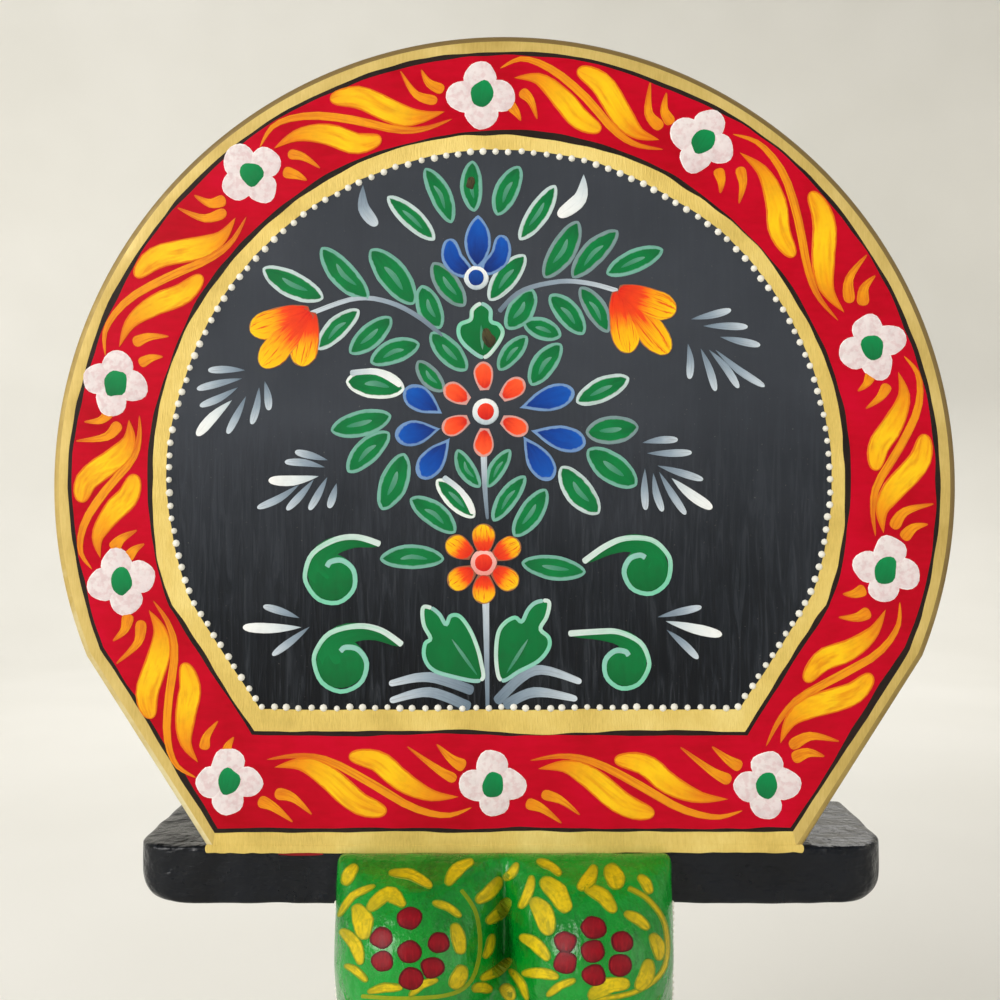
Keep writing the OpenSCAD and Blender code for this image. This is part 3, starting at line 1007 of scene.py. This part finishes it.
def lobed_leaf(places, rib):
    ring = patch("leaf_fills", places, 1)
    half = len(ring) // 2
    stroke("leaf_outlines", ring[:half + 1], 0.55, "line", 3, steps=50)
    stroke("leaf_outlines", ring[half:] + ring[:1], 0.55, "line", 3, steps=50)
    stroke("leaf_ribs", rib, 0.5, "leaf", 4, steps=10)


def scroll(x, z, size, turn, side, tip=2.35):
    line = [(tip, 17), (1.9, 40), (1.5, 67), (1.2, 110), (1.05, 150), (1, 180), (1, 225), (1.03, 270),
            (1, 315), (0.93, 360), (0.8, 400), (0.62, 435), (0.45, 455)]
    body = [(tip * 0.97, 17), (1.65, 42), (1.15, 75), (0.7, 120), (0.1, 180)]

    def places(points):
        return [(x + side * size * reach * math.cos(math.radians(angle + turn)),
                 z + size * reach * math.sin(math.radians(angle + turn))) for reach, angle in points]
    stroke("leaf_fills", places(body), [0.1 * size, 0.26 * size, 0.4 * size, 0.55 * size, 0.6 * size],
           "line", 1, steps=22)
    blob("leaf_fills", x, z, 0.95 * size, 0.95 * size, 0, 1)
    stroke("leaf_outlines", places(line), [0.85, 0.8, 0.7, 0.6, 0.6, 0.6, 0.6, 0.7, 0.75, 0.7], "line", 3,
           steps=60)


def tulip(base, tips):
    for tip in tips:
        stroke("tulip_petals", [base, Vector(base).lerp(Vector(tip), 0.5), tip], 3.9, "tulip", 3, steps=16)


def round_flower(x, z, petals, across, tall, family, ring):
    for petal_x, petal_z in petals:
        out = Vector((petal_x - x, petal_z - z))
        inner = Vector((petal_x, petal_z)) - out.normalized() * tall / 2
        outer = Vector((petal_x, petal_z)) + out.normalized() * tall / 2
        stroke(family, [inner, outer], across / 2, "petal", 3, steps=14)
    blob(ring, x, z, 3.6, 3.6, 0, 4)
    blob("flower_hearts", x, z, 2.5, 2.5, 0, 5, 0.1)


def paint_bouquet():
    stroke("grey_strokes", [(-4.5, 36.5), (-4.7, 50), (-5, 66)], [0.5, 0.7, 1.0], "line", 1, steps=16)
    stroke("grey_strokes", [(-4.5, 86.5), (-5.2, 95), (-5.5, 104)], [0.4, 0.7, 0.9], "line", 1)
    for path in ([(-16.5, 135), (-22.5, 140), (-30.5, 144), (-39.5, 145), (-51.5, 141)],
                 [(-1.5, 141.5), (4.5, 147), (14.5, 149.5), (22.5, 149), (30, 147)]):
        stroke("grey_strokes", path, 0.65, "line", 1, steps=26)
    for values in FIELD_LEAVES:
        leaf(*values)
    lobed_leaf([(-5.6, 129.4), (-2.5, 132), (-0.5, 135.7), (-1.5, 138), (-3.6, 139), (-3.8, 142),
                (-6.2, 143.6), (-8.5, 142), (-9, 139.4), (-11.8, 138), (-12, 135), (-9.8, 132)],
               [(-5.8, 131.5), (-6.2, 138)])
    lobed_leaf([(-6.3, 43.8), (-6.3, 49), (-8, 54.7), (-10, 58.6), (-12.2, 61), (-14.4, 60.8),
                (-15.5, 58.6), (-17.2, 61.3), (-19.4, 63), (-21.6, 63), (-21.4, 58.6), (-19.6, 55),
                (-21, 53.6), (-21.3, 50.2), (-19.4, 47), (-15, 45.2)], [(-13.9, 54.7), (-7.2, 45.2)])
    lobed_leaf([(-0.8, 43.8), (-2.2, 49), (-1.8, 55.8), (0, 59), (2.8, 60.5), (4.6, 59.4), (6.2, 62.5),
                (8.4, 64.5), (11.7, 64.7), (11.2, 60.8), (9.5, 57.5), (11.7, 55.2), (11.7, 52.4),
                (9, 49), (4, 46.3)], [(6.2, 54.7), (0.6, 45.8)])
    scroll(-43.2, 48.3, 7.2, 0, 1)
    scroll(-45.9, 71.1, 6.7, 17, 1)
    scroll(37.6, 73.4, 6.5, -11, -1, 2.6)
    scroll(32.1, 47.8, 6.0, 12, -1, 2.9)
    for start_x, start_z, end_x, end_z in BLUE_PETALS:
        stroke("blue_petals", [(start_x, start_z), (end_x, end_z)], 3.5, "drop", 2, steps=16)
    for path, half in (([(-9, 151.5), (-13.5, 155), (-14.5, 160.8)], 2.9),
                       ([(-6, 152), (-1.2, 156), (-0.8, 161.8)], 2.8), ([(-7.2, 153), (-7, 167)], 3.6)):
        stroke("blue_petals", path, half, "crescent" if half < 3 else "leaf", 3, steps=18)
    blob("white_strokes", -7.5, 150.5, 3.3, 3.3, 0, 4)
    blob("blue_hearts", -7.5, 150.5, 2.2, 2.2, 0, 6)
    round_flower(-5, 115, [(-5.5, 124.5), (2.2, 121), (-12.7, 119.8), (-13, 111.5), (2.7, 111.3),
                           (-5.5, 106.8)], 5.4, 7.6, "orange_petals", "white_strokes")
    round_flower(-5.5, 75, [(-5.5, 81.5), (0.7, 78.6), (0.2, 71), (-5.5, 68), (-11.5, 71), (-12, 79)],
                 6.4, 7.8, "flame_petals", "pink_rings")
    tulip((-51.5, 141.5), [(-67.5, 136.5), (-64.5, 127), (-54, 127)])
    tulip((30, 147), [(45.5, 141.5), (43.5, 130.5), (33, 130.5)])
    for start_x, start_z, end_x, end_z, big in FEATHERS:
        middle = Vector((start_x + end_x, start_z + end_z)) / 2
        run = Vector((end_x - start_x, end_z - start_z))
        middle += Vector((-run.y, run.x)) * chance.uniform(-0.05, 0.05)
        family = "white_strokes" if big else "grey_strokes"
        stroke(family, [(start_x, start_z), middle, (end_x, end_z)], 1.45 if big else 1.05, "drop", 1,
               steps=12)
    stroke("grey_strokes", [(-37.5, 175), (-37.3, 169), (-33.8, 164.3)], 1.7, "drop", 1, steps=16)
    stroke("white_strokes", [(21, 177.8), (20, 171.5), (14.2, 166.8)], 2.0, "drop", 1, steps=16)
    blob("knot_stains", -4, 134.6, 1.7, 2.4, 20, 5, uneven=0.6)
    blob("knot_stains", -9, 175.5, 1.3, 1.8, 0, 5, uneven=0.6)
    for path in GRASS:
        stroke("grey_strokes", path, [1.4, 1.4, 0.8], "line", 1, steps=20)


paint_border()
dots_round_field()
paint_bouquet()
# Painted highlight: the gold lap onto the ledge takes the lighter inner gold, standing for light falling on
# the lower edge.
stroke("gold_lap", [(-79.3, -0.8), (-30, -0.9), (30, -0.8), (79.3, -0.7)], 1.1, "line", 2, steps=60,
       rough=0.25)
stroke("red_smear", [(-60, -2.2), (-54, -2), (-48, -2.2)], 0.6, "leaf", 1, steps=14, rough=0.3)
stroke("red_smear", [(-38, -2.1), (-33, -1.9), (-28, -2.1)], 0.6, "leaf", 1, steps=14, rough=0.3)
PANEL_PAINT = {
    "border_strokes": border_orange, "border_leaves": border_yellow, "border_petals": flower_white,
    "flower_centres": flower_green, "field_dots": dot_white, "leaf_greens": leaf_green,
    "leaf_ribs": leaf_rib, "leaf_fills": leaf_plain, "leaf_outlines": leaf_outline,
    "grey_strokes": stroke_grey, "blue_hearts": blue_plain,
    "knot_stains": knot_brown, "white_strokes": stroke_white, "blue_petals": petal_blue,
    "orange_petals": petal_orange, "flame_petals": petal_flame, "tulip_petals": petal_flame,
    "flower_hearts": heart_red, "pink_rings": ring_pink, "gold_lap": inner_gold, "red_smear": smear_red}
for family, material in PANEL_PAINT.items():
    lay_paint(family, material, "rack", family == "field_dots")


# ---- ledge ----------------------------------------------------------------------------------

def make_ledge():
    """A hand-planed ledge with rounded ends and the countersinks of its screws."""
    corner_x = LEDGE_HALF - LEDGE_CORNER
    corner_y = LEDGE_FRONT + LEDGE_CORNER
    low = LEDGE_SHIFT - LEDGE_HALF
    high = LEDGE_SHIFT + LEDGE_HALF
    rough = [add_block((low, -2, -1), (high, 0, 8)),
             add_block((LEDGE_SHIFT - corner_x, LEDGE_FRONT, -2), (LEDGE_SHIFT + corner_x, 0, 8))]
    for step in range(5):
        angle = math.radians(22.5 * step)
        inset = LEDGE_END * (1 - math.cos(angle))
        height = -2 - LEDGE_END * math.sin(angle)
        rough.append(add_block((low + inset, -2, height), (high - inset, 0, height + 0.2)))
        for side in (-1, 1):
            rough.append(add_rod(LEDGE_SHIFT + side * (corner_x - inset), corner_y, height + 0.1,
                                 LEDGE_CORNER, 0.2, 48))
    for side in (-1, 1):
        rough.append(add_rod(LEDGE_SHIFT + side * corner_x, corner_y, 3, LEDGE_CORNER, 10, 48))
    ledge = wrapped(rough)
    carved(ledge, 0.93, 8)
    roughen(ledge, 0.6, 8)
    for x, y in ((64, -40), (-64, -40), (64, -13.5), (-64, -13.5)):
        cut_away(ledge, add_rod(x, y, -8.6, 3.7, 3.2))
    for x in (-16, 16):
        cut_away(ledge, add_rod(x, -26, 8.6, 3.7, 3.2))
    smooth(ledge, 45)
    settle(ledge, "ledge_lacquered", ledge_black, "rack")
    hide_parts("ledge")


# ---- elephant's head ------------------------------------------------------------------------

# Trunk: in front of the ledge, below its top, and radius
TRUNK = [(4, 54, 17), (12, 70, 14.5), (18, 92, 12.4), (20.5, 110, 10.9), (24, 126, 9.8),
         (30, 136, 9), (37.5, 138, 8.3), (46.6, 130.6, 6.9)]


def face_ball(x, out, down, radius):
    return add_ball(x, LEDGE_FRONT - out, LEDGE_TOP - down, radius)


def make_head():
    parts = []
    for side in (-1, 1):
        inner = 0.0 if side > 0 else -44.0
        parts.append(wrapped([face_ball(side * 22.6, 9, 25, 21),
                              add_block((inner, -49, -35), (inner + 44, -46, 6.6))]))
    parts.append(wrapped([face_ball(-20, -1, 43, 19), face_ball(20, -1, 43, 19),
                          face_ball(-15, 3, 71, 15), face_ball(15, 3, 71, 15),
                          add_block((-29, -12, -92), (29, 0, -8))]))
    for side in (-1, 1):
        parts.append(wrapped([face_ball(side * 24, 2, 52, 12), face_ball(side * 19, 6, 72, 11)]))
        parts.append(wrapped([face_ball(side * 18, 2, 70, 8.5), face_ball(side * 21.5, 14, 80.5, 6.2)]))
    parts.append(wrapped([face_ball(0, 4, 88, 10), face_ball(0, -4, 84, 13)]))
    for first, second in zip(TRUNK, TRUNK[1:]):
        parts.append(wrapped([face_ball(0, *first), face_ball(0, *second)]))
    head = joined(parts)
    carved(head, 0.98, 7)
    cut_away(head, add_block((-200, -45.9, -8.1), (200, 60, 60)))
    cut_away(head, add_block((-200, -0.05, -150), (200, 60, 0)))
    roughen(head, 0.35, 9)
    smooth(head, 50)
    settle(head, "head_carved", head_green, "rack")
    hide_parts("head")
    return head


def skin_of(piece):
    """A search tree of a finished skin, which paint is laid on."""
    shape = bmesh.new()
    shape.from_mesh(piece.data)
    tree = BVHTree.FromBMesh(shape)
    shape.free()
    return tree


def toward(tree, start, aim, proud, front=True):
    """The place where a line first meets a carved skin, lifted off it a little."""
    run = (aim - start).normalized()
    spot, normal, _, _ = tree.ray_cast(start * MM, run)
    if spot is None or (front and normal.dot(run) > -0.12):
        return None
    return spot + normal * proud * MM


make_ledge()
head = make_head()
head_skin = skin_of(head)
PAINTER = Vector((4, -331, 98))


def on_brow(x, z, proud):
    spot = toward(head_skin, PAINTER, Vector((x, -73, z + LEDGE_TOP)), proud)
    if spot is None or spot.y > (LEDGE_FRONT - 0.4) * MM:
        return None
    return spot


def on_face(x, z, proud):
    return toward(head_skin, Vector((x, -300, z + LEDGE_TOP)), Vector((x, 0, z + LEDGE_TOP)), proud)


def on_cheek(side):
    def canvas(y, z, proud):
        return toward(head_skin, Vector((side * 200, y, z + LEDGE_TOP)),
                      Vector((0, y, z + LEDGE_TOP)), proud)
    return canvas


# Brow strokes: places in mm, then the width
BROW_STROKES = [
    (2.6, (-32.5, 1.5), (-26.5, 6.5)), (3, (-38, -1), (-35, 4)), (2.6, (-27.5, 2), (-17, -1.5)),
    (3, (-13.5, -1), (-7, 5)), (2, (-39.5, -8.5), (-30.5, -1)),
    (3.6, (-32.5, -7), (-27.5, -3), (-23.5, -6)), (4.5, (-35.5, -5.5), (-33.5, -14)),
    (3, (-39, -11.5), (-34, -20)), (2, (-38, -20), (-32.5, -24)), (2.2, (-32.5, -26.5), (-24, -25.5)),
    (2, (-22.5, -27.5), (-15.5, -23.5)), (2, (-17, -5), (-10, -8.5)), (3.4, (-12, -10), (-10, -17.5)),
    (3.8, (-9.5, -20), (-12.5, -25.5)), (3.2, (-0.5, 1), (-6.5, -5)), (3, (1.5, -4), (-4, -10)),
    (2.2, (-2.5, -12.5), (-4.5, -18.5)), (2.5, (2, -18.5), (-5.5, -23.5)), (2.6, (-7.5, -26), (-2.5, -26)),
    (2.2, (3.5, 4.5), (0, 0.5)), (2.6, (7, 1.5), (4, -6.5)), (2.2, (8, 5), (14, 1.5)),
    (4.5, (9, 0.5), (15.5, -7.5)), (4.5, (7, -4), (11, -13)), (3, (4, -13), (11, -19)),
    (2.6, (4.5, -22), (13.5, -23)), (2, (10.5, -27.5), (17.5, -23.5)), (3.2, (22, 4), (18, -2)),
    (4.2, (25, 4), (27.5, -2)), (3.5, (19.5, -1.5), (27, -7.5)), (2.6, (32.5, 1.5), (35.5, -3)),
    (2, (39, -1), (39.5, -5)), (2.6, (29, -7.5), (35, -11.5)), (3.2, (35.5, -12.5), (37.5, -19)),
    (3.8, (35, -18.5), (32, -26)), (3.8, (20.5, -28), (30.5, -24.5)), (3.2, (-0.5, -25), (2.5, -28.5)),
    (2, (1.5, -21), (6, -28.5))]


def paint_brow():
    for width, *path in BROW_STROKES:
        if len(path) == 2:
            start, end = (Vector(point) for point in path)
            run = end - start
            middle = (start + end) / 2 + Vector((-run.y, run.x)) * chance.uniform(0.05, 0.14)
            path = [start, middle, end]
        stroke("brow_strokes", path, width * 0.56, "crescent", 2, steps=14, canvas=on_brow, rough=0.2)
    stroke("brow_rings", [(-10, -2), (-6.5, -7.5), (-5.5, -16), (-7.5, -23.5), (-12.5, -27), (-23, -28),
                          (-34, -27.5)], 0.5, "line", 1, steps=40, canvas=on_brow)
    stroke("brow_strokes", [(30, -1.5), (35, -4.5), (39, -11), (38.5, -21), (31.5, -26.5), (20.5, -28.5)],
           0.75, "line", 1, steps=40, canvas=on_brow)
    rosettes = (((-22.4, -17), [(-22.4, -8.8), (-29, -13.5), (-15.4, -14.5), (-28.8, -19.2),
                                (-16.8, -20.6), (-22, -23.2)]),
                ((21.6, -16.8), [(21.7, -11), (15, -14.4), (28.6, -14.4), (15, -19.4), (28.2, -20),
                                 (21.7, -22.6)]))
    for middle, dots in rosettes:
        for x, z in [middle] + dots:
            size = chance.uniform(2.75, 3.15)
            blob("rosette_dots", x, z, size, size * 0.95, 0, 3, sides=18, canvas=on_brow, uneven=0.2)


def paint_face():
    for side in (-1, 1):
        canvas = on_cheek(side)
        line = [(-49, -13), (-49.5, -20), (-49, -28), (-48, -37), (-44, -45)]
        stroke("brow_bands", line, 1.3, "line", 1, steps=40, canvas=canvas)
        for step in range(20):
            spot = curve_point(line, (step + 0.5) / 20)
            blob("brow_beads", spot.x - 1.4, spot.y, 0.75, 0.75, 0, 1, 0.5, sides=8, canvas=canvas)
        blob("eye_whites", side * 26, -58, 6.2, 3.6, -side * 14, 2, 0.1, sides=24, canvas=on_face)
        blob("eye_blacks", side * 26, -58, 2.6, 2.8, 0, 4, 0.1, canvas=on_face)
        stroke("eye_blacks", [(side * 18.5, -59.5), (side * 25, -53.6), (side * 33, -55.5)], 0.6, "leaf", 3,
               steps=20, canvas=on_face)
        for step in range(3):
            rise = -46.5 - step * 1.6
            stroke("brow_strokes", [(side * (14 + step * 7), rise), (side * (18 + step * 6.5), rise + 2.5)],
                   1.1, "leaf", 1, canvas=on_face)
        for x, z in ((33, -68), (28, -76), (34, -80), (26, -86)):
            stroke("brow_strokes", [(side * x, z), (side * (x - 3), z - 5.5)], 1.3, "leaf", 1,
                   canvas=on_face, rough=0.12)
        for y, z in ((-30, -46), (-22, -58), (-14, -44), (-12, -66), (-10, -80), (-24, -72)):
            stroke("brow_strokes", [(y, z), (y + 4, z - 6)], 1.4, "leaf", 1, canvas=canvas, rough=0.12)


def round_trunk(index, share):
    """A canvas that wraps round the trunk between two of its points."""
    first = TRUNK[index]
    second = TRUNK[index + 1]
    start = Vector((0, LEDGE_FRONT - first[0], LEDGE_TOP - first[1]))
    end = Vector((0, LEDGE_FRONT - second[0], LEDGE_TOP - second[1]))
    middle = start.lerp(end, share)
    along = (end - start).normalized()
    radius = first[2] + (second[2] - first[2]) * share
    across = along.cross(Vector((1, 0, 0))).normalized()

    def canvas(x, z, proud):
        angle = x / radius + math.pi / 2
        out = Vector((1, 0, 0)) * math.cos(angle) + across * math.sin(angle)
        base = middle + along * z
        return toward(head_skin, base + out * (radius + 7), base, proud, False)
    return canvas, radius


def paint_trunk():
    for index, share, family, half in ((1, 0.25, "brow_bands", 1.1), (1, 0.6, "rosette_dots", 0.8),
                                       (2, 0.7, "brow_bands", 1.0), (3, 0.4, "rosette_dots", 0.8),
                                       (4, 0.3, "brow_bands", 1.0), (5, 0.5, "rosette_dots", 0.7),
                                       (6, 0.5, "brow_bands", 0.9)):
        canvas, radius = round_trunk(index, share)
        reach = radius * math.pi * 0.93
        stroke(family, [(-reach, 0), (0, 0), (reach, 0)], half, "line", 1, steps=44, canvas=canvas)
        if family == "brow_bands":
            count = int(reach / 1.6)
            for step in range(-count, count + 1):
                blob("brow_beads", step * 1.6, half + 1.1, 0.6, 0.6, 0, 1, 0.4, sides=8, canvas=canvas)
    for index in (1, 2, 3):
        canvas, radius = round_trunk(index, 0.05)
        for step in range(-2, 3):
            stroke("brow_strokes", [(step * 6, -1), (step * 6 + 2, 4.5)], 1.2, "leaf", 1, canvas=canvas)


# ---- ears and tusks -------------------------------------------------------------------------

EAR_LOBES = [(10, 15, 14), (42, 21, 20), (44, 40, 15), (27, 60, 11)]


def make_ear(side):
    rods = [add_rod(side * out, -down, 0, radius, 7, 48) for out, down, radius in EAR_LOBES]
    ear = wrapped(rods)
    carved(ear, 0.9, 12)
    turn = Matrix.Rotation(-side * math.radians(18), 4, "Z") @ Matrix.Rotation(math.radians(90), 4, "X")
    place = Matrix.Translation(Vector((side * 27, -24, LEDGE_TOP - 57)) * MM) @ turn
    for point in ear.data.vertices:
        out = abs(point.co.x) / MM
        down = -point.co.y / MM
        dish = 0.9 * math.sin(max(0.0, out - 14) / 48 * math.pi) * (1 if point.co.z > 0 else 0.2)
        fold = 0.25 * math.sin(down * 0.28 + out * 0.1)
        point.co.z -= (dish - fold * 0.5) * MM if point.co.z > 0 else 0
    name = "left" if side < 0 else "right"
    choose(ear)
    ear.data.transform(place)
    smooth(ear, 50)
    settle(ear, "ear_" + name + "_painted", head_green, "rack")
    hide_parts("ear_" + name)
    skin = skin_of(ear)

    def canvas(out, rise, proud, face=1):
        start = place @ (Vector((side * out, rise, 30 * face)) * MM) / MM
        aim = place @ (Vector((side * out, rise, 0)) * MM) / MM
        return toward(skin, start, aim, proud)

    def rear(out, rise, proud):
        return canvas(out, rise, proud, -1)
    rim = []
    for step in range(73):
        angle = math.radians(195 - step * 5)
        way = Vector((math.cos(angle), math.sin(angle)))
        lobe = max(EAR_LOBES, key=lambda item: item[0] * way.x - item[1] * way.y + item[2])
        rim.append((lobe[0] + (lobe[2] - 2.4) * way.x, -lobe[1] + (lobe[2] - 2.4) * way.y))
    rim = [point for point in rim if point[0] > 15]
    stroke("brow_bands", rim, 1.2, "line", 1, steps=110, canvas=canvas)
    stroke("brow_bands", rim, 1.2, "line", 1, steps=110, canvas=rear)
    for step in range(58):
        spot = curve_point(rim, (step + 0.5) / 58)
        inward = (Vector((34, -32)) - spot).normalized() * 2.2
        blob("brow_beads", spot.x + inward.x, spot.y + inward.y, 0.7, 0.7, 0, 1, 0.45, sides=8,
             canvas=canvas)
    for x, z in ((44, -24), (50, -24), (38, -24), (47, -18.8), (41, -18.8), (47, -29.2), (41, -29.2)):
        blob("rosette_dots", x, z, 2.1, 2.1, 0, 2, 0.15, sides=16, canvas=canvas)
    for step in range(12):
        angle = math.radians(30 * step + 10)
        middle = Vector((44, -24)) + Vector((math.cos(angle), math.sin(angle))) * 12
        along = Vector((-math.sin(angle), math.cos(angle))) * 2.6
        stroke("brow_strokes", [middle - along, middle + along * 0.6], 1.3, "leaf", 1, canvas=canvas)
    for x, z in ((22, -18), (24, -30), (30, -42), (25, -52), (36, -48), (30, -60), (22, -42), (37, -58)):
        stroke("brow_strokes", [(x, z), (x + 4, z - 5)], 1.5, "leaf", 1, canvas=canvas, rough=0.12)
    for x, z in ((26, -14), (40, -10), (52, -18), (30, -28), (44, -30), (54, -36), (28, -44), (40, -46),
                 (30, -60)):
        stroke("brow_strokes", [(x, z), (x - 3, z - 6)], 1.5, "leaf", 1, canvas=rear, rough=0.12)


TUSK = [(16, 3, 72.6, 4.2), (18, 6, 74, 4.2), (22, 20, 84, 4.0), (23.2, 28, 87, 3.5), (23.6, 35, 87.6, 2.8),
        (23.2, 41.5, 85.6, 2.1), (23, 45.5, 83.4, 1.6)]


def make_tusk(side):
    parts = []
    for first, second in zip(TUSK, TUSK[1:]):
        parts.append(wrapped([face_ball(side * first[0], *first[1:]), face_ball(side * second[0],
                                                                               *second[1:])]))
    tusk = joined(parts)
    carved(tusk, 0.45, 14)
    smooth(tusk, 60)
    name = "left" if side < 0 else "right"
    settle(tusk, "tusk_" + name + "_smooth", tusk_ivory, "rack")
    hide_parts("tusk_" + name)
    skin = skin_of(tusk)
    first = Vector((side * 22, LEDGE_FRONT - 20, LEDGE_TOP - 84))
    second = Vector((side * 18, LEDGE_FRONT - 6, LEDGE_TOP - 74))
    for share in (0.1, 0.35):
        middle = first.lerp(second, share)
        along = (first - second).normalized()
        right = along.cross(Vector((0, 0, 1))).normalized()
        up = right.cross(along)

        def canvas(x, z, proud):
            angle = x / 4.2
            out = right * math.cos(angle) + up * math.sin(angle)
            base = middle + along * z
            return toward(skin, base + out * 12, base, proud, False)
        stroke("brow_bands", [(-13.1, 0), (0, 0), (13.1, 0)], 0.7, "line", 1, steps=30, canvas=canvas)


paint_brow()
paint_face()
paint_trunk()
for side in (-1, 1):
    make_ear(side)
    make_tusk(side)
HEAD_PAINT = {"brow_strokes": head_yellow, "brow_rings": head_line, "rosette_dots": rosette_red,
              "brow_bands": rim_gold, "brow_beads": dot_white, "eye_whites": eye_white,
              "eye_blacks": eye_black}
for family, material in HEAD_PAINT.items():
    lay_paint(family, material, "rack", family in ("brow_beads", "brow_bands"))


# ---- hardware -------------------------------------------------------------------------------

def dress(piece, material):
    """Puts one finish on every slot of a carried-over piece."""
    if not piece.material_slots:
        piece.data.materials.append(material)
    for place in piece.material_slots:
        place.material = material


for node_name, material in (("panel_screw_left", screw_steel), ("panel_screw_right", screw_steel),
                            ("back_screw_left", screw_steel), ("back_screw_right", screw_steel),
                            ("head_screw_left", screw_steel), ("head_screw_right", screw_steel),
                            ("screw_eye", eye_brass), ("hang_ring", eye_brass)):
    dress(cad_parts[node_name], material)
